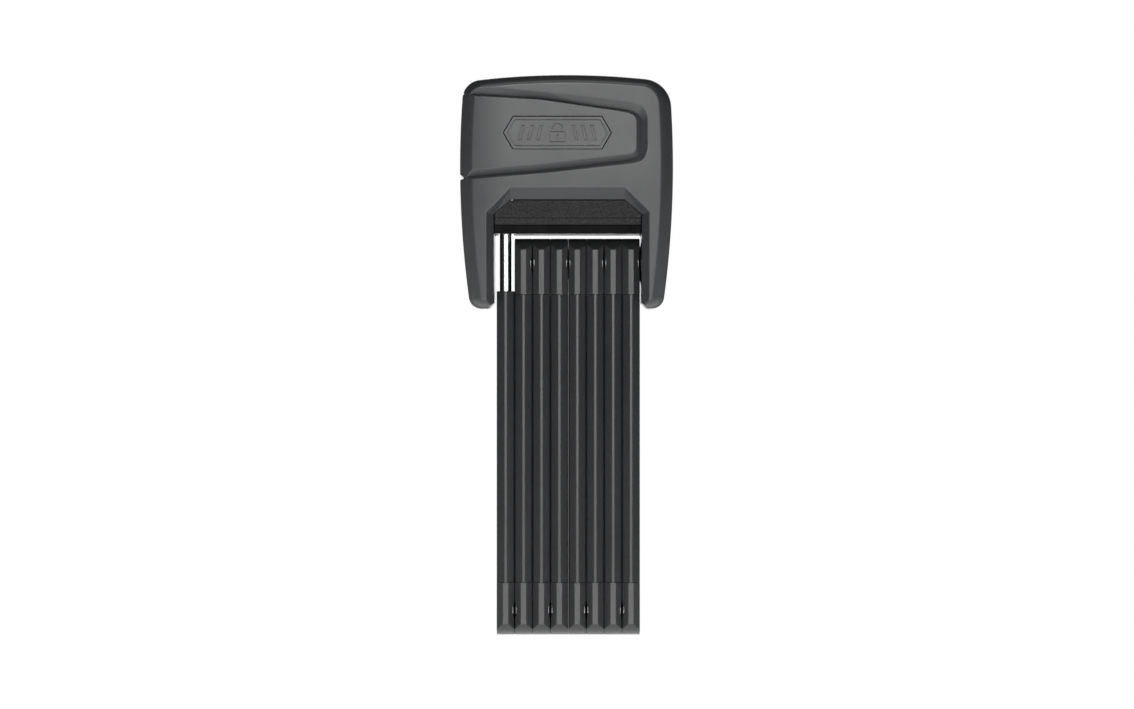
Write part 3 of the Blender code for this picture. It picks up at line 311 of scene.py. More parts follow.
class Shader:
    """A material's node tree with short calls to add and join nodes."""

    def __init__(self, name):
        self.material = bpy.data.materials.new(name)
        self.material.use_nodes = True
        self.tree = self.material.node_tree
        self.surface = self.tree.nodes["Principled BSDF"]
        self.place = self.add("ShaderNodeTexCoord").outputs["Object"]

    def add(self, kind, **settings):
        node = self.tree.nodes.new(kind)
        for key, value in settings.items():
            setattr(node, key, value)
        return node

    def join(self, out, into):
        self.tree.links.new(out, into)

    def noise(self, scale, detail=3.0, roughness=0.5, stretch=None):
        node = self.add("ShaderNodeTexNoise")
        node.inputs["Scale"].default_value = scale
        node.inputs["Detail"].default_value = detail
        node.inputs["Roughness"].default_value = roughness
        place = self.place
        if stretch:
            mapping = self.add("ShaderNodeMapping")
            mapping.inputs["Scale"].default_value = stretch
            self.join(place, mapping.inputs["Vector"])
            place = mapping.outputs["Vector"]
        self.join(place, node.inputs["Vector"])
        return node.outputs["Fac"]

    def ranged(self, value, low, high, to_low, to_high):
        node = self.add("ShaderNodeMapRange")
        for key, number in (("From Min", low), ("From Max", high), ("To Min", to_low), ("To Max", to_high)):
            node.inputs[key].default_value = number
        self.join(value, node.inputs["Value"])
        return node.outputs["Result"]

    def mixed(self, factor, first, second):
        node = self.add("ShaderNodeMix", data_type="RGBA")
        self.join(factor, node.inputs["Factor"])
        for key, value in (("A", first), ("B", second)):
            socket = next(item for item in node.inputs if item.name == key and item.type == "RGBA")
            if isinstance(value, tuple):
                socket.default_value = (*value, 1.0)
            else:
                self.join(value, socket)
        return next(item for item in node.outputs if item.type == "RGBA")

    def bump(self, height, strength, distance, under=None):
        node = self.add("ShaderNodeBump")
        node.inputs["Strength"].default_value = strength
        node.inputs["Distance"].default_value = distance
        self.join(height, node.inputs["Height"])
        if under is not None:
            self.join(under, node.inputs["Normal"])
        return node.outputs["Normal"]

    def edges(self, low, high):
        """1 on outer edges, 0 elsewhere."""
        point = self.add("ShaderNodeNewGeometry").outputs["Pointiness"]
        return self.ranged(point, low, high, 0.0, 1.0)


def tinted(colour, factor):
    return tuple(min(channel * factor, 1.0) for channel in colour)


def plastic(name, colour, roughness, grain=1500.0, grain_depth=0.02, wear=0.5, specular=0.5):
    """Moulded plastic: fine spark-eroded grain, faint clouding, and edges rubbed lighter."""
    shader = Shader(name)
    cloud = shader.noise(38.0, 4.0)
    speck = shader.noise(grain * 0.6, 2.0)
    base = shader.mixed(shader.ranged(cloud, 0.3, 0.7, 0.0, 1.0), tinted(colour, 0.92), tinted(colour, 1.08))
    base = shader.mixed(shader.ranged(speck, 0.55, 0.75, 0.0, 0.35), base, tinted(colour, 1.35))
    scuff = shader.noise(220.0, 5.0, 0.65)
    edge = shader.add("ShaderNodeMath", operation="MULTIPLY")
    shader.join(shader.edges(0.515, 0.56), edge.inputs[0])
    shader.join(shader.ranged(scuff, 0.35, 0.65, 0.1 * wear, wear), edge.inputs[1])
    base = shader.mixed(edge.outputs[0], base, tinted(colour, 1.9))
    shader.join(base, shader.surface.inputs["Base Color"])
    patch = shader.noise(90.0, 4.0)
    shader.join(shader.ranged(patch, 0.25, 0.75, roughness * 0.9, roughness * 1.1),
                shader.surface.inputs["Roughness"])
    fine = shader.bump(shader.noise(grain, 2.0), 0.6, grain_depth * MM)
    shader.join(fine, shader.surface.inputs["Normal"])
    shader.surface.inputs["Specular IOR Level"].default_value = specular
    return shader.material


def leather_grain(name, colour, roughness):
    """Moulded leather pattern: creases round pebbles, with finer pores on top; painted shade makes the
    creases darker than the pebble tops.
    """
    shader = Shader(name)
    warp = shader.add("ShaderNodeTexNoise")
    warp.inputs["Scale"].default_value = 420.0
    shader.join(shader.place, warp.inputs["Vector"])
    shift = shader.add("ShaderNodeVectorMath", operation="SCALE")
    shader.join(warp.outputs["Color"], shift.inputs[0])
    shift.inputs["Scale"].default_value = 1.1 * MM
    moved = shader.add("ShaderNodeVectorMath", operation="ADD")
    shader.join(shader.place, moved.inputs[0])
    shader.join(shift.outputs["Vector"], moved.inputs[1])
    cells = shader.add("ShaderNodeTexVoronoi", feature="DISTANCE_TO_EDGE")
    cells.inputs["Scale"].default_value = 900.0
    shader.join(moved.outputs["Vector"], cells.inputs["Vector"])
    crease = shader.ranged(cells.outputs["Distance"], 0.0, 0.16, 0.0, 1.0)
    # painted shade: the creases are coloured darker and the pebble tops lighter
    base = shader.mixed(crease, tinted(colour, 0.6), tinted(colour, 1.15))
    shader.join(base, shader.surface.inputs["Base Color"])
    shader.join(shader.ranged(crease, 0.0, 1.0, roughness * 1.25, roughness * 0.85),
                shader.surface.inputs["Roughness"])
    pebbles = shader.bump(crease, 0.7, 0.12 * MM)
    fine = shader.bump(shader.noise(2600.0, 2.0), 0.5, 0.03 * MM, pebbles)
    shader.join(fine, shader.surface.inputs["Normal"])
    shader.surface.inputs["Specular IOR Level"].default_value = 0.3
    return shader.material


def metal(name, colour, roughness, streak=(1.0, 1.0, 1.0), scratch=0.4, variation=0.3, grain=2200.0):
    """Bare or plated metal with faint machining streaks, patchy polish and small rubbed marks."""
    shader = Shader(name)
    streaks = shader.noise(grain, 3.0, 0.6, streak)
    patch = shader.noise(160.0, 5.0, 0.6)
    base = shader.mixed(shader.ranged(patch, 0.3, 0.7, 0.0, 1.0), tinted(colour, 0.94), tinted(colour, 1.04))
    shader.join(base, shader.surface.inputs["Base Color"])
    shader.join(shader.ranged(patch, 0.25, 0.75, roughness * (1 - variation), roughness * (1 + variation)),
                shader.surface.inputs["Roughness"])
    shader.join(shader.bump(streaks, scratch, 0.004 * MM), shader.surface.inputs["Normal"])
    shader.surface.inputs["Metallic"].default_value = 1.0
    return shader.material


HOUSING = plastic("satin_charcoal_plastic", (0.031, 0.032, 0.0335), 0.36, wear=0.3)
PANEL = plastic("panel_charcoal_plastic", (0.035, 0.036, 0.0375), 0.35, wear=0.3)
CAP = plastic("soft_cap_plastic", (0.022, 0.0225, 0.0235), 0.31, grain=1900.0, wear=0.3)
SLEEVE = plastic("hard_sleeve_plastic", (0.018, 0.0185, 0.0195), 0.24, grain=2300.0, grain_depth=0.005,
                 wear=0.5)
SHUTTER = plastic("shutter_black_plastic", (0.012, 0.012, 0.013), 0.38, wear=0.8)
TRIM = leather_grain("leather_grained_plastic", (0.0095, 0.0097, 0.0101), 0.65)
CHROME = metal("polished_chrome", (0.5, 0.505, 0.51), 0.12, (1.0, 1.0, 0.04), 0.25)
RIVET = metal("dark_rivet_steel", (0.2, 0.2, 0.205), 0.3, (0.05, 1.0, 1.0), 0.5)
STEEL = metal("hardened_steel", (0.42, 0.42, 0.43), 0.3, (1.0, 0.06, 1.0), 0.6)
CASTING = metal("dark_zinc_casting", (0.006, 0.006, 0.0063), 0.5, (1.0, 1.0, 1.0), 1.0, grain=900.0)
BRASS = metal("nickel_brass", (0.62, 0.56, 0.42), 0.26, (0.06, 1.0, 1.0), 0.5)
SCREW = metal("blackened_screw_steel", (0.09, 0.09, 0.095), 0.34, (1.0, 1.0, 1.0), 0.5)


# ---------------------------------------------------------------- housing forms

def half_outline(inset_x, inset_z, corner_radius):
    """Right half of the housing's outline from the top middle down to the leg's underside."""
    shrink = (inset_x + inset_z) / 2
    side_radius = SIDE_RADIUS - inset_x
    side_x = HALF_WIDTH - SIDE_RADIUS
    top_radius = TOP_RADIUS - inset_z
    top_z = TOP_Z - TOP_RADIUS
    corner = max(corner_radius - shrink, 2 * MM)
    leg_corner = max(LEG_CORNER - shrink, 1.5 * MM)
    span = Vector((-side_x, top_z - SIDE_MIDDLE_Z))
    near, far = side_radius - corner, top_radius - corner
    along = (near ** 2 - far ** 2 + span.length_squared) / (2 * span.length)
    off = math.sqrt(near ** 2 - along ** 2)
    unit = span.normalized()
    corner_x = side_x + unit.x * along - unit.y * off
    corner_z = SIDE_MIDDLE_Z + unit.y * along + unit.x * off
    leg_z = LEG_Z + inset_z + leg_corner
    leg_x = side_x + math.sqrt((side_radius - leg_corner) ** 2 - (leg_z - SIDE_MIDDLE_Z) ** 2)
    top_end = math.degrees(math.atan2(corner_z - top_z, corner_x))
    side_start = math.degrees(math.atan2(corner_z - SIDE_MIDDLE_Z, corner_x - side_x))
    side_end = math.degrees(math.atan2(leg_z - SIDE_MIDDLE_Z, leg_x - side_x))
    half = arc((0, top_z), top_radius, 90, top_end, 16)
    half += arc((corner_x, corner_z), corner, top_end, side_start, 18)[1:]
    half += arc((side_x, SIDE_MIDDLE_Z), side_radius, side_start, side_end, 30)[1:]
    half += arc((leg_x, leg_z), leg_corner, side_end, -90, 10)[1:]
    return half


def housing_outline(inset_x, inset_z):
    right = half_outline(inset_x, inset_z, CORNERS["right"])
    left = half_outline(inset_x, inset_z, CORNERS["left"])
    return right + [(-x, z) for x, z in reversed(left[1:])]


def rounded_edge(edge, face_y, shrink, steps):
    across, deep, high = edge
    direction = math.copysign(1, face_y)
    rings = []
    for step in range(steps + 1):
        angle = math.pi / 2 * step / steps
        side = 1 - math.cos(angle) ** EDGE_FLATNESS
        top = 1 - math.cos(angle)
        y = face_y - direction * (shrink + deep * (1 - math.sin(angle) ** EDGE_FLATNESS))
        rings.append((y, shrink + across * side, shrink + high * top))
    return rings


def soft_block(name, shrink=0.0, front_y=None, rear_y=None):
    rings = rounded_edge(FRONT_EDGE, -HALF_DEPTH, shrink, 14)[::-1]
    if front_y is not None:
        rings = [(front_y, shrink, shrink)]
    if rear_y is None:
        rings += rounded_edge(REAR_EDGE, HALF_DEPTH, shrink, 10)
    else:
        rings.append((rear_y, shrink, shrink))
    return loft(name, [[(x, y, z) for x, z in housing_outline(dx, dz)] for y, dx, dz in rings])


def opening_outline(grow_side, grow_top):
    left, right = OPENING_LEFT - grow_side, OPENING_RIGHT + grow_side
    low = LEG_Z - 5 * MM
    shoulder = SHOULDER_Z + grow_side * 0.4
    top = OPENING_TOP + grow_top
    return [(left, low), (left, shoulder), (OPENING_LEFT + SHOULDER_WIDTH, top),
            (OPENING_RIGHT - SHOULDER_WIDTH, top), (right, shoulder), (right, low)]


def leg_cut_outline():
    reach = 8 * MM
    top = LEG_Z + LEG_CUT
    return [(OPENING_LEFT, top), (OPENING_LEFT - reach, top - reach), (OPENING_RIGHT + reach, top - reach),
            (OPENING_RIGHT, top)]


PANEL_EDGES = {
    "face": ((-50, 225.9), (-11.1, 223.7), (9.6, 220.7), (25.7, 218.3), (28.4, 217.0), (29.2, 215.2),
             (29.2, 203.6), (28.2, 201.8), (25.7, 201.1), (9.6, 199.3), (-11.1, 196.9), (-50, 193.6)),
    "floor": ((-50, 226.6), (-11.1, 224.4), (9.6, 221.4), (26.3, 219.1), (29.6, 217.8), (31.0, 215.6),
              (31.0, 202.6), (29.5, 199.6), (26.2, 198.6), (9.6, 196.6), (-11.1, 194.2), (-50, 191.0)),
    "outer": ((-50, 230.1), (-11.1, 227.2), (9.6, 225.1), (27.0, 222.8), (31.6, 221.2), (33.6, 217.0),
              (33.7, 203.2), (32.0, 198.6), (28.5, 197.3), (9.6, 195.2), (-11.1, 193.0), (-50, 189.8)),
}


PANEL_MIDDLE_Z = 209
PANEL_END_X = 28


def panel_outline(edge, outward=0.0):
    moved = []
    for x, z in PANEL_EDGES[edge]:
        shift_z = outward if z > PANEL_MIDDLE_Z else -outward
        shift_x = outward if x > PANEL_END_X else 0
        moved.append((x * MM + shift_x, z * MM + shift_z))
    return eased(moved, 2.5 * MM)


def panel_prism(name, edge, outward):
    face_y = -HALF_DEPTH
    floor_y = face_y + GROOVE_DEPTH
    floor = panel_outline("floor", outward)
    rear = PANEL_REAR_Y + (GAP if edge == "outer" else 0)
    straight = prism(name, floor, XZ_PLANE, floor_y - 0.01 * MM, rear)
    slope = [(2 * a[0] - b[0], 2 * a[1] - b[1]) for a, b in zip(panel_outline(edge), floor)]
    loops = [[(x, face_y - GROOVE_DEPTH, z) for x, z in slope], [(x, floor_y, z) for x, z in floor]]
    return combine(straight, loft(name + "_slope", loops), "UNION")


UPPER_NOTCH_MM = (229.9, 225.4, 226.4)
LOWER_NOTCH_MM = (190.3, 194.6, 191.2)


def side_groove(name, high):
    """V-shaped cut across the left side: heights of its far edge, its edge on the panel and its floor."""
    outer_x = -HALF_WIDTH - 2 * MM
    inner_x = -HALF_WIDTH + SIDE_NOTCH + 0.5 * MM
    far, near, floor = [z * MM for z in (UPPER_NOTCH_MM if high else LOWER_NOTCH_MM)]
    outline = [(outer_x, far), (outer_x, near), (inner_x, floor)]
    return prism(name, outline, XZ_PLANE, -HALF_DEPTH - MM, HALF_DEPTH + MM)


def ramp(value, low, high):
    return min(max((value - low) / (high - low), 0.0), 1.0)


LEFT_FALL_MM = 1.7
RIGHT_FALL_MM = 0.8
LEG_FALL_MM = 3.6


def crowned(mesh):
    """Let the front face fall back slightly towards the sides and towards the ends of the legs."""
    for vertex in mesh.vertices:
        place = vertex.co
        near = ramp(-place.y, 10 * MM, 16 * MM)
        side = ramp(abs(place.x), 24 * MM, HALF_WIDTH)
        down = ramp(-place.z, -198 * MM, -LEG_Z)
        fall = LEFT_FALL_MM if place.x < 0 else RIGHT_FALL_MM
        place.y += near * (fall * side ** 2 + LEG_FALL_MM * down ** 1.5) * MM
    return mesh


def build_housing_front():
    front = soft_block("housing_front_skin", rear_y=PARTING_Y)
    pocket = panel_prism("panel_pocket", "outer", -0.2 * MM)
    combine(pocket, soft_block("pocket_floor", PANEL_THICKNESS + GAP, rear_y=PARTING_Y + 5 * MM))
    combine(front, pocket)
    combine(front, side_groove("upper_groove", True))
    combine(front, side_groove("lower_groove", False))
    face_y = -HALF_DEPTH
    slope_end = face_y + CHAMFER_DEPTH
    wide = opening_outline(CHAMFER_SIDE * 2, CHAMFER_TOP * 2)
    tight = opening_outline(0, 0)
    loops = [[(x, face_y - CHAMFER_DEPTH, z) for x, z in wide], [(x, slope_end, z) for x, z in tight]]
    combine(front, loft("opening_chamfer", loops))
    combine(front, prism("opening_front", tight, XZ_PLANE, slope_end - 0.01 * MM, CASE_FRONT))
    combine(front, prism("leg_cut", leg_cut_outline(), XZ_PLANE, face_y - MM, PARTING_Y + MM))
    combine(front, box("neck_space", (OPENING_LEFT, OPENING_RIGHT), (CASE_FRONT - GAP, PARTING_Y + 5 * MM),
                       (LEG_Z - 5 * MM, OPENING_TOP + 2.2 * MM)))
    combine(front, rod("collar_seat", "X", COLLAR_RADIUS + GAP, 0.02, COLLAR_END_X + GAP,
                       (0, UPPER_PIVOT_Z)))
    for place in SCREW_PLACES:
        combine(front, rod("screw_bore", "Y", 1.8 * MM, 3.7 * MM, 0.03, (place.x, place.z), 24))
    moulded(front, 0.3 * MM, 3, 0.35)
    mesh = crowned(settle(front, "housing_front_skin", None))
    return piece(mesh, "housing_front_skin", HOUSING, "lock_body", "housing_front")


def build_housing_rear():
    rear = soft_block("housing_rear_skin", front_y=REAR_FRONT_Y)
    low = LEG_Z - 5 * MM
    beyond = HALF_DEPTH + 5 * MM
    combine(rear, box("rear_opening", (OPENING_LEFT, OPENING_RIGHT), (0, beyond), (low, CASE_UNDERSIDE)))
    combine(rear, prism("rear_leg_cut", leg_cut_outline(), XZ_PLANE, 0, beyond))
    combine(rear, side_groove("rear_upper_groove", True))
    combine(rear, side_groove("rear_lower_groove", False))
    slot = (BAR_X[1] - SLOT_HALF, BAR_X[1] + SLOT_HALF)
    combine(rear, box("rear_slot", slot, (0, beyond), (CASE_UNDERSIDE - 5 * MM, SLOT_TOP)))
    seat_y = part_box("housing_screw_1")[1].y - 2.3 * MM
    for place in SCREW_PLACES:
        combine(rear, rod("screw_hole", "Y", 1.8 * MM, 0, beyond, (place.x, place.z), 24))
        combine(rear, rod("screw_seat", "Y", SCREW_HEAD_RADIUS + GAP, seat_y, beyond,
                          (place.x, place.z), 32))
    moulded(rear, 0.3 * MM, 3, 0.35)
    mesh = settle(rear, "housing_rear_skin", None)
    return piece(mesh, "housing_rear_skin", HOUSING, "lock_body", "housing_rear")


def build_panel():
    panel = soft_block("front_panel_skin", rear_y=PARTING_Y - MM)
    combine(panel, panel_prism("panel_region", "face", 0), "INTERSECT")
    combine(panel, soft_block("panel_inside", PANEL_THICKNESS, rear_y=PARTING_Y + 5 * MM))
    combine(panel, side_groove("panel_upper_groove", True))
    combine(panel, side_groove("panel_lower_groove", False))
    combine(panel, rod("panel_keyhole", "X", KEYHOLE_RADIUS, -0.05, -0.035, (0, KEY_AXIS_Z)))
    face_x = -HALF_WIDTH - 5 * MM
    recess_z = (KEY_AXIS_Z - 5.4 * MM, KEY_AXIS_Z + 15.0 * MM)
    for label, half, near, far in (("mouth", 4.7, face_x, -43.0), ("rails", 5.8, -43.01, -42.0)):
        reach = (near if near == face_x else near * MM, far * MM)
        combine(panel, box(f"shutter_{label}", reach, (-half * MM, half * MM), recess_z))
    combine(panel, prism("emblem_recess", emblem_hexagon(0), XZ_PLANE, -0.03, -HALF_DEPTH + EMBLEM_DEPTH))
    moulded(panel, 0.25 * MM, 2, 0.5)
    mesh = crowned(settle(panel, "front_panel_skin", None))
    return piece(mesh, "front_panel_skin", PANEL, "lock_body", "front_panel")


# ---------------------------------------------------------------- emblem

KEYHOLE_RADIUS = 4.5 * MM
EMBLEM_DEPTH = 0.9 * MM
EMBLEM_MIDDLE = Vector((-3.8 * MM, 209.9 * MM))
EMBLEM_HALF_LENGTH = 22.5 * MM
EMBLEM_HALF_HEIGHT = 6.9 * MM
EMBLEM_POINT = 4.0 * MM


def emblem_hexagon(inset):
    """Elongated hexagon in the middle of the front panel, moved inward all round by the inset."""
    slant = math.hypot(EMBLEM_POINT, EMBLEM_HALF_HEIGHT)
    length = EMBLEM_HALF_LENGTH - inset * slant / EMBLEM_HALF_HEIGHT
    height = EMBLEM_HALF_HEIGHT - inset
    point = EMBLEM_POINT * height / EMBLEM_HALF_HEIGHT
    corners = ((-length, 0), (point - length, -height), (length - point, -height), (length, 0),
               (length - point, height), (point - length, height))
    return [(EMBLEM_MIDDLE.x + x, EMBLEM_MIDDLE.y + z) for x, z in corners]


def on_emblem(outline):
    return [(EMBLEM_MIDDLE.x + x * MM, EMBLEM_MIDDLE.y + z * MM) for x, z in outline]


def rounded_rectangle(x, z, half_x, half_z, radius):
    corners = ((1, 1, 0), (-1, 1, 90), (-1, -1, 180), (1, -1, 270))
    outline = []
    for side, end, start in corners:
        centre = (x + side * (half_x - radius), z + end * (half_z - radius))
        outline += arc(centre, radius, start, start + 90, 5)
    return outline


def build_emblem():
    """Hexagonal plate with an engraved line inside its rim and an engraved padlock between slanted ribs."""
    face_y = -HALF_DEPTH + 0.04 * MM
    floor_y = -HALF_DEPTH + EMBLEM_DEPTH - 0.01 * MM
    cut_y = floor_y - 0.04 * MM
    line = 0.4
    plate = prism("emblem_plate", emblem_hexagon(0.3 * MM), XZ_PLANE, face_y, floor_y)

    def engrave(name, outer, inner):
        ring = prism(name, outer, XZ_PLANE, -0.03, cut_y)
        combine(ring, prism(name + "_inside", inner, XZ_PLANE, -0.04, 0))
        combine(plate, ring)

    engrave("emblem_ring", emblem_hexagon(1.35 * MM), emblem_hexagon((1.35 + line) * MM))
    body = rounded_rectangle(0, -1.7, 3.4, 2.3, 0.6)
    shackle = [(2.4, 1.2)] + arc((0, 1.7), 2.4, 0, 180, 14) + [(-2.4, 1.2), (-1.7, 1.2)] + \
        arc((0, 1.7), 1.7, 180, 0, 10) + [(1.7, 1.2)]
    hole = arc((0, -1.3), 0.7, -60, 240, 12) + [(-0.4, -2.9), (0.4, -2.9)]
    ribs = [[(x - 0.9, -3.2), (x + 0.6, -3.2), (x + 2.2, 3.2), (x + 0.7, 3.2)]
            for x in (-15.6, -11.8, -8.0)]
    ribs += [[(-x, z) for x, z in reversed(rib)] for rib in ribs]
    for outline in [body] + ribs:
        engrave("emblem_sign", on_emblem(outline), on_emblem(inset(outline, line)))
    for outline in (shackle, hole):
        combine(plate, prism("emblem_cut", on_emblem(outline), XZ_PLANE, -0.03, cut_y))
    mesh = crowned(settle(plate, "emblem_plate"))
    return piece(mesh, "emblem_plate", PANEL, "lock_body")


# ---------------------------------------------------------------- trim with a leather grain

def build_trim():
    low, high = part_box("grained_trim")
    front, rear = low.y, high.y
    grain_foot = 175.3 * MM
    step_back = front + 1.3 * MM
    turn = arc((front + 0.6 * MM, grain_foot), 0.6 * MM, 180, 270, 5)
    profile = [(front, high.z)] + turn + [(step_back, grain_foot - 0.7 * MM), (step_back + 0.6 * MM, low.z),
                                          (rear, low.z), (rear, high.z)]
    trim = prism("trim_skin", profile, YZ_PLANE, low.x, high.x)
    combine(trim, prism("trim_region", opening_outline(0, 0), XZ_PLANE, -0.03, 0), "INTERSECT")
    moulded(trim, 0.2 * MM, 2)
    mesh = settle(trim, "trim_skin", None)
    for vertex in mesh.vertices:
        facing = max(-vertex.normal.y, 0) ** 2
        within = min(max((vertex.co.z - grain_foot) / (0.5 * MM), 0), 1)
        if facing * within == 0:
            continue
        spot = Vector((vertex.co.x * 1.2, 0, vertex.co.z)) / MM
        spot += noise.noise_vector(spot * 1.1) * 0.3
        near, far = noise.voronoi(spot * 1.7)[0][:2]
        crease = 1 - min((far - near) / 0.3, 1)
        vertex.co.y += facing * within * crease * 0.08 * MM
    return piece(mesh, "grained_trim_skin", TRIM, "lock_body", "grained_trim")


# ---------------------------------------------------------------- bars

CAP_LAND = 2.4 * MM
CAP_CHAMFER_DEPTH = 2.1 * MM
CAP_SIDE_INSET = 0.5 * MM
CAP_END_RISE = 4.9 * MM
SLEEVE_LAND = 1.3 * MM
SLEEVE_CHAMFER_DEPTH = 1.8 * MM
SLEEVE_SIDE_INSET = 0.8 * MM
RIVET_SHAFT_RADIUS = 3.2 * MM
RIVET_HEAD_RADIUS = 5.3 * MM
RIVET_HEAD_THICKNESS = 1.5 * MM
HEAD_POCKET_DEPTH = 1.2 * MM
PIVOT_DISTANCE = UPPER_PIVOT_Z - LOWER_PIVOT_Z


def round_end(half_depth, length, steps):
    foot = half_depth - length
    return arc((0, 0), half_depth, 0, 180, steps) + [(-half_depth, foot), (half_depth, foot)]


def bowed_end(half_depth, rise, length, steps):
    radius = (half_depth ** 2 + rise ** 2) / (2 * rise)
    spread = math.degrees(math.asin(half_depth / radius))
    crown = arc((0, half_depth - radius), radius, 90 - spread, 90 + spread, steps)
    return crown + [(-half_depth, half_depth - length), (half_depth, half_depth - length)]


def cover_section(thickness, half_depth, land, chamfer_depth, side_inset):
    side = thickness / 2
    front = half_depth - chamfer_depth
    quarter = [(land / 2, half_depth), (side - side_inset / 2, front), (side, front - side_inset)]
    right = quarter + [(x, -y) for x, y in reversed(quarter)]
    return right + [(-x, y) for x, y in reversed(right)]


def cap_mesh(name, length):
    """Cover over a bar's end, its crown upward and its foot square, with room for link and washer."""
    half = COVER_HALF
    foot = COVER_DEPTH - length
    section = cover_section(half * 2, COVER_DEPTH, CAP_LAND, CAP_CHAMFER_DEPTH, CAP_SIDE_INSET)
    shape = prism(name, section, XY_PLANE, -0.05, 0.05)
    profile = bowed_end(COVER_DEPTH, CAP_END_RISE, length + 2 * half, 24)
    combine(shape, prism("cap_profile", profile, YZ_PLANE, -half * 2, half * 2), "INTERSECT")
    softened(shape, 0.6 * MM, 5, 20)
    combine(shape, box("cap_foot", (-half * 2, half * 2), (-0.05, 0.05), (foot - 0.05, foot)))
    inner = LINK_HALF + GAP
    slot = round_end(LINK_DEPTH + GAP, length + 2 * half, 24)
    combine(shape, prism("cap_slot", slot, YZ_PLANE, -inner, inner))
    combine(shape, rod("cap_window", "X", COLLAR_RADIUS + GAP, 0, half * 2, (0, 0), 64))
    combine(shape, rod("cap_head", "X", RIVET_HEAD_RADIUS + GAP, -half * 2, 0, (0, 0), 48))
    return settle(shape, name)


def sleeve_mesh(name, low, high):
    section = cover_section(COVER_HALF * 2, SLEEVE_DEPTH, SLEEVE_LAND, SLEEVE_CHAMFER_DEPTH,
                            SLEEVE_SIDE_INSET)
    made = prism(name, section, XY_PLANE, low, high)
    softened(made, 0.3 * MM, 4, 15)
    inner, depth = LINK_HALF + GAP, LINK_DEPTH + GAP
    combine(made, box("sleeve_slot", (-inner, inner), (-depth, depth), (low - MM, high + MM)))
    return settle(made, name)


def link_mesh(name, top=None):
    """Chromed bar between its two rivets; square at the top where the tongue joins on."""
    half = LINK_HALF
    lower = arc((0, 0), LINK_DEPTH, 180, 360, 24)
    round_end = arc((0, PIVOT_DISTANCE), LINK_DEPTH, 0, 180, 24)
    upper = [(LINK_DEPTH, top), (-LINK_DEPTH, top)] if top else round_end
    made = prism(name, lower + upper, YZ_PLANE, -half, half)
    softened(made, 0.3 * MM, 3, 40)
    for height, side in ((0, -1),) if top else ((0, -1), (PIVOT_DISTANCE, 1)):
        combine(made, rod("link_hole", "X", RIVET_SHAFT_RADIUS + GAP, -half * 2, half * 2, (0, height)))
        pocket = sorted((side * half * 2, side * (half - HEAD_POCKET_DEPTH)))
        combine(made, rod("link_pocket", "X", RIVET_HEAD_RADIUS + GAP, *pocket, (0, height)))
    return settle(made, name)


def tongue_mesh(name):
    """Rounded blade above bar 1's link, with the notch that the deadbolt enters."""
    half, depth = LINK_HALF, TONGUE_HIGH.y
    notch_depth = 3.8 * MM
    rounding = 2.0 * MM
    blade = box(name, (-half, half), (-depth, depth), (TONGUE_LOW.z - 2 * rounding, TONGUE_HIGH.z))
    softened(blade, rounding, 10, 50)
    combine(blade, box("tongue_foot", (-half * 2, half * 2), (-0.02, 0.02),
                       (TONGUE_LOW.z - 0.02, TONGUE_LOW.z)))
    combine(blade, box("tongue_notch", (-half * 2, half * 2), (-0.02, notch_depth - depth),
                       (172.4 * MM, 178.6 * MM)))
    return settle(blade, name)


def rivet_mesh(name, left_x, right_x, collar, pivot_z):
    """Turned rivet: domed, chamfered heads, a shaft, and between the two links a pair of thin washers."""
    head, round_off = RIVET_HEAD_THICKNESS, 0.35 * MM
    rim, ease = 0.45 * MM, 0.15 * MM
    groove = ((collar[0] + collar[1]) / 2, COLLAR_RADIUS - 2.5 * MM)
    profile = [(left_x + 0.12 * MM, 0), (left_x, RIVET_HEAD_RADIUS * 0.45),
               (left_x, RIVET_HEAD_RADIUS - round_off), (left_x + round_off, RIVET_HEAD_RADIUS),
               (left_x + head, RIVET_HEAD_RADIUS), (left_x + head, RIVET_SHAFT_RADIUS),
               (collar[0], RIVET_SHAFT_RADIUS), (collar[0], COLLAR_RADIUS - ease),
               (collar[0] + ease, COLLAR_RADIUS), (collar[0] + rim - ease, COLLAR_RADIUS),
               (collar[0] + rim, COLLAR_RADIUS - ease), groove, (collar[1] - rim, COLLAR_RADIUS - ease),
               (collar[1] - rim + ease, COLLAR_RADIUS), (collar[1] - ease, COLLAR_RADIUS),
               (collar[1], COLLAR_RADIUS - ease), (collar[1], RIVET_SHAFT_RADIUS),
               (right_x - head, RIVET_SHAFT_RADIUS), (right_x - head, RIVET_HEAD_RADIUS),
               (right_x - round_off, RIVET_HEAD_RADIUS), (right_x, RIVET_HEAD_RADIUS - round_off),
               (right_x, RIVET_HEAD_RADIUS * 0.45), (right_x - 0.12 * MM, 0)]
    return settle(turned(name, profile, "X", (0, 0, pivot_z), 64), name)


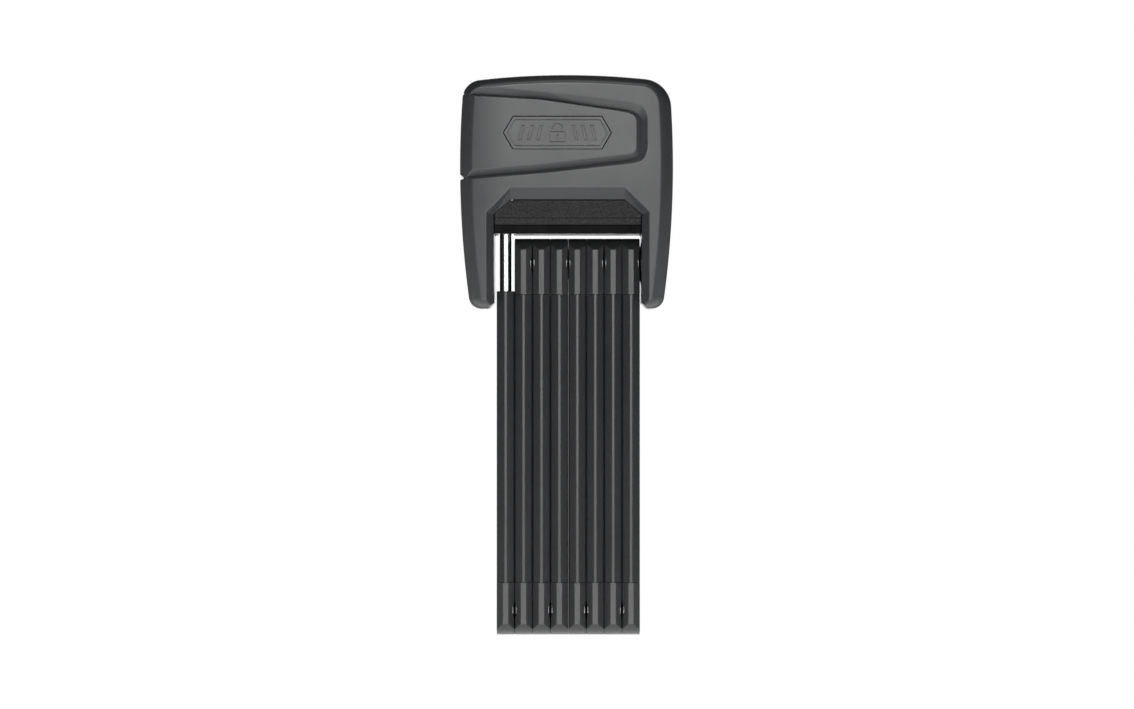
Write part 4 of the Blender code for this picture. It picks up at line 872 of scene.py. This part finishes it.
def build_bars():
    lower_cap = cap_mesh("lower_cap", LOWER_CAP_TOP)
    upper_cap = cap_mesh("upper_cap", UPPER_PIVOT_Z + COVER_DEPTH - UPPER_CAP_FOOT)
    sleeve_low, sleeve_high = LOWER_CAP_TOP + 0.02 * MM, UPPER_CAP_FOOT - 0.02 * MM
    sleeve = sleeve_mesh("sleeve", sleeve_low, sleeve_high)
    tongue_sleeve = sleeve_mesh("tongue_sleeve", sleeve_low, TONGUE_COVER_TOP)
    link = link_mesh("link")
    short_link = link_mesh("short_link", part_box("bar_1_link")[1].z - LOWER_PIVOT_Z)
    tongue = tongue_mesh("tongue")
    half_turn = {axis: Matrix.Rotation(math.pi, 4, axis) for axis in "XYZ"}
    for number, x in BAR_X.items():
        odd = number % 2 == 1
        name = f"bar_{number}"
        lower = Matrix.Translation((x, 0, LOWER_PIVOT_Z))
        upper = Matrix.Translation((x, 0, UPPER_PIVOT_Z))
        pieces = [("lower_cap", lower_cap, lower @ half_turn["X" if odd else "Y"], CAP, "cap"),
                  ("sleeve", tongue_sleeve if number == 1 else sleeve, Matrix.Translation((x, 0, 0)), SLEEVE,
                   "sleeve"),
                  ("link", short_link if number == 1 else link, lower if odd else lower @ half_turn["Z"],
                   CHROME, "link")]
        if number == 1:
            pieces.append(("tongue", tongue, Matrix.Translation((x, 0, 0)), CHROME, "link"))
        else:
            turn = half_turn["Z"] if odd else Matrix.Identity(4)
            pieces.append(("upper_cap", upper_cap, upper @ turn, CAP, "cap"))
        for label, mesh, matrix, material, slot in pieces:
            own = mesh.copy()
            own.transform(matrix)
            piece(own, f"{name}_{label}_skin", material, name, f"{name}_{label}")
    for number, x in BAR_X.items():
        last = number == BAR_COUNT
        node = "rivet_8_body" if last else f"rivet_{number}_{number + 1}"
        low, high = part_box(node)
        start = x + LINK_HALF + GAP
        collar = (start, COLLAR_END_X if last else BAR_X[number + 1] - LINK_HALF - GAP)
        pivot_z = LOWER_PIVOT_Z if number % 2 else UPPER_PIVOT_Z
        mesh = rivet_mesh(node, low.x, high.x, collar, pivot_z)
        piece(mesh, f"{node}_skin", RIVET, "lock_body" if last else f"bar_{number}", node)


# ---------------------------------------------------------------- screws, shutter and kept CAD nodes

def build_screws():
    for number, place in enumerate(SCREW_PLACES, start=1):
        low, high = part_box(f"housing_screw_{number}")
        head, radius = 2.0 * MM, SCREW_HEAD_RADIUS
        profile = [(low.y, 0), (low.y, 0.9 * MM), (low.y + 0.6 * MM, 1.5 * MM), (high.y - head, 1.5 * MM),
                   (high.y - head, radius), (high.y - 0.3 * MM, radius), (high.y, radius - 0.3 * MM),
                   (high.y, 0)]
        screw = turned("screw", profile, "Y", (place.x, 0, place.z))
        combine(screw, rod("hex_socket", "Y", 1.3 * MM, high.y - 1.2 * MM, 0.03, (place.x, place.z), 6))
        mesh = settle(screw, f"housing_screw_{number}_skin")
        piece(mesh, f"housing_screw_{number}_skin", SCREW, "lock_body", f"housing_screw_{number}")


def build_shutter():
    """Slider over the keyhole: a tab with three ribs, running in rails behind the panel's lips."""
    low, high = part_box("keyway_shutter")
    face_x, flange_x = -43.3 * MM, (-42.85 * MM, -42.15 * MM)
    tab = box("shutter_skin", (face_x, high.x), (-4.4 * MM, 4.4 * MM), (low.z, high.z))
    softened(tab, 0.4 * MM)
    combine(tab, box("shutter_flange", flange_x, (-5.5 * MM, 5.5 * MM), (low.z, high.z)), "UNION")
    middle = (low.z + high.z) / 2
    for rib in (-1, 0, 1):
        z = middle + rib * 2.4 * MM
        ridge = box("shutter_ridge", (low.x, flange_x[0]), (-3.2 * MM, 3.2 * MM),
                    (z - 0.5 * MM, z + 0.5 * MM))
        softened(ridge, 0.25 * MM)
        combine(tab, ridge, "UNION")
    mesh = settle(tab, "keyway_shutter_skin")
    piece(mesh, "keyway_shutter_skin", SHUTTER, "keyway_shutter", "keyway_shutter")


def finish_cad_nodes():
    for node, material in (("lock_case", CASTING), ("hinge_plate", STEEL), ("cylinder_body", BRASS),
                           ("cylinder_pin", STEEL), ("key_plug", BRASS), ("cam", BRASS),
                           ("deadbolt", STEEL)):
        made = frame["nodes"][node]
        for place in made.material_slots:
            place.material = material


build_housing_front()
build_housing_rear()
build_panel()
build_emblem()
build_trim()
build_bars()
build_screws()
build_shutter()
finish_cad_nodes()

# ---------------------------------------------------------------- stage, light and camera

FLOOR_HALF = 1.7
FLOOR_MIDDLE_Y = -0.6
FLOOR_Z = -0.18


def area_light(name, place, target, size, power, colour=(1, 1, 1)):
    lamp = bpy.data.lights.new(name, "AREA")
    lamp.shape = "RECTANGLE"
    lamp.size, lamp.size_y = size
    lamp.energy = power
    lamp.color = colour
    made = bpy.data.objects.new(name, lamp)
    bpy.context.scene.collection.objects.link(made)
    made.location = place
    made.rotation_euler = (Vector(target) - Vector(place)).to_track_quat("-Z", "Y").to_euler()
    return made


def build_stage():
    floor = add_object("floor", bpy.data.meshes.new("floor"), OBJECT)
    shape = bmesh.new()
    bmesh.ops.create_grid(shape, x_segments=1, y_segments=1, size=FLOOR_HALF)
    shape.to_mesh(floor.data)
    shape.free()
    floor.location = (0, FLOOR_MIDDLE_Y, FLOOR_Z)
    shader = Shader("pale_floor")
    tone = shader.mixed(shader.noise(3.0, 4.0), (0.86, 0.86, 0.86), (0.9, 0.9, 0.9))
    shader.join(tone, shader.surface.inputs["Base Color"])
    shader.surface.inputs["Roughness"].default_value = 0.7
    shader.surface.inputs["Emission Color"].default_value = (1, 1, 1, 1)
    shader.surface.inputs["Emission Strength"].default_value = 0.8
    floor.data.materials.append(shader.material)


def build_studio():
    """White surround for the camera; for the object a room that is dim above and light below."""
    world = bpy.data.worlds.new("studio")
    world.use_nodes = True
    nodes, links = world.node_tree.nodes, world.node_tree.links
    white = nodes["Background"]
    white.inputs["Color"].default_value = (1, 1, 1, 1)
    room = nodes.new("ShaderNodeBackground")
    split = nodes.new("ShaderNodeSeparateXYZ")
    links.new(nodes.new("ShaderNodeTexCoord").outputs["Generated"], split.inputs["Vector"])
    fade = nodes.new("ShaderNodeMapRange")
    for key, value in (("From Min", -0.5), ("From Max", 0.12), ("To Min", 1.0), ("To Max", 0.03)):
        fade.inputs[key].default_value = value
    links.new(split.outputs["Z"], fade.inputs["Value"])
    links.new(fade.outputs["Result"], room.inputs["Strength"])
    seen = nodes.new("ShaderNodeLightPath")
    mix = nodes.new("ShaderNodeMixShader")
    links.new(seen.outputs["Is Camera Ray"], mix.inputs["Fac"])
    links.new(room.outputs["Background"], mix.inputs[1])
    links.new(white.outputs["Background"], mix.inputs[2])
    links.new(mix.outputs["Shader"], nodes["World Output"].inputs["Surface"])
    bpy.context.scene.world = world
    area_light("key_softbox", (0.06, -2.1, 0.9), (0, 0, 0.2), (0.8, 0.5), 20.5)
    area_light("front_softbox", (0.12, -2.3, 0.2), (0, 0, 0.12), (0.5, 0.5), 4.4)
    area_light("right_strip", (0.8, -2.0, 0.15), (0, 0, 0.1), (0.07, 0.9), 1.6)
    area_light("top_softbox", (0.1, -0.35, 1.4), (0, 0, 0.2), (1.0, 0.5), 4.2)
    area_light("low_card", (0.0, -0.6, -0.16), (0, 0, 0.0), (0.6, 0.12), 2.0)
    area_light("rear_softbox", (0, 2.4, 0.3), (0, 0, 0.12), (1.4, 1.2), 14)
    bpy.context.scene.view_settings.view_transform = "Standard"
    bpy.context.scene.view_settings.look = "None"


def build_camera():
    camera = bpy.data.cameras.new("camera")
    camera.sensor_width = 36.0
    camera.lens = 121.3
    camera.clip_start = 0.05
    made = bpy.data.objects.new("camera", camera)
    bpy.context.scene.collection.objects.link(made)
    made.location = (0.0002, -1.608, 0.11777)
    made.rotation_euler = (math.pi / 2, 0, 0)
    bpy.context.scene.camera = made


build_stage()
build_studio()
build_camera()
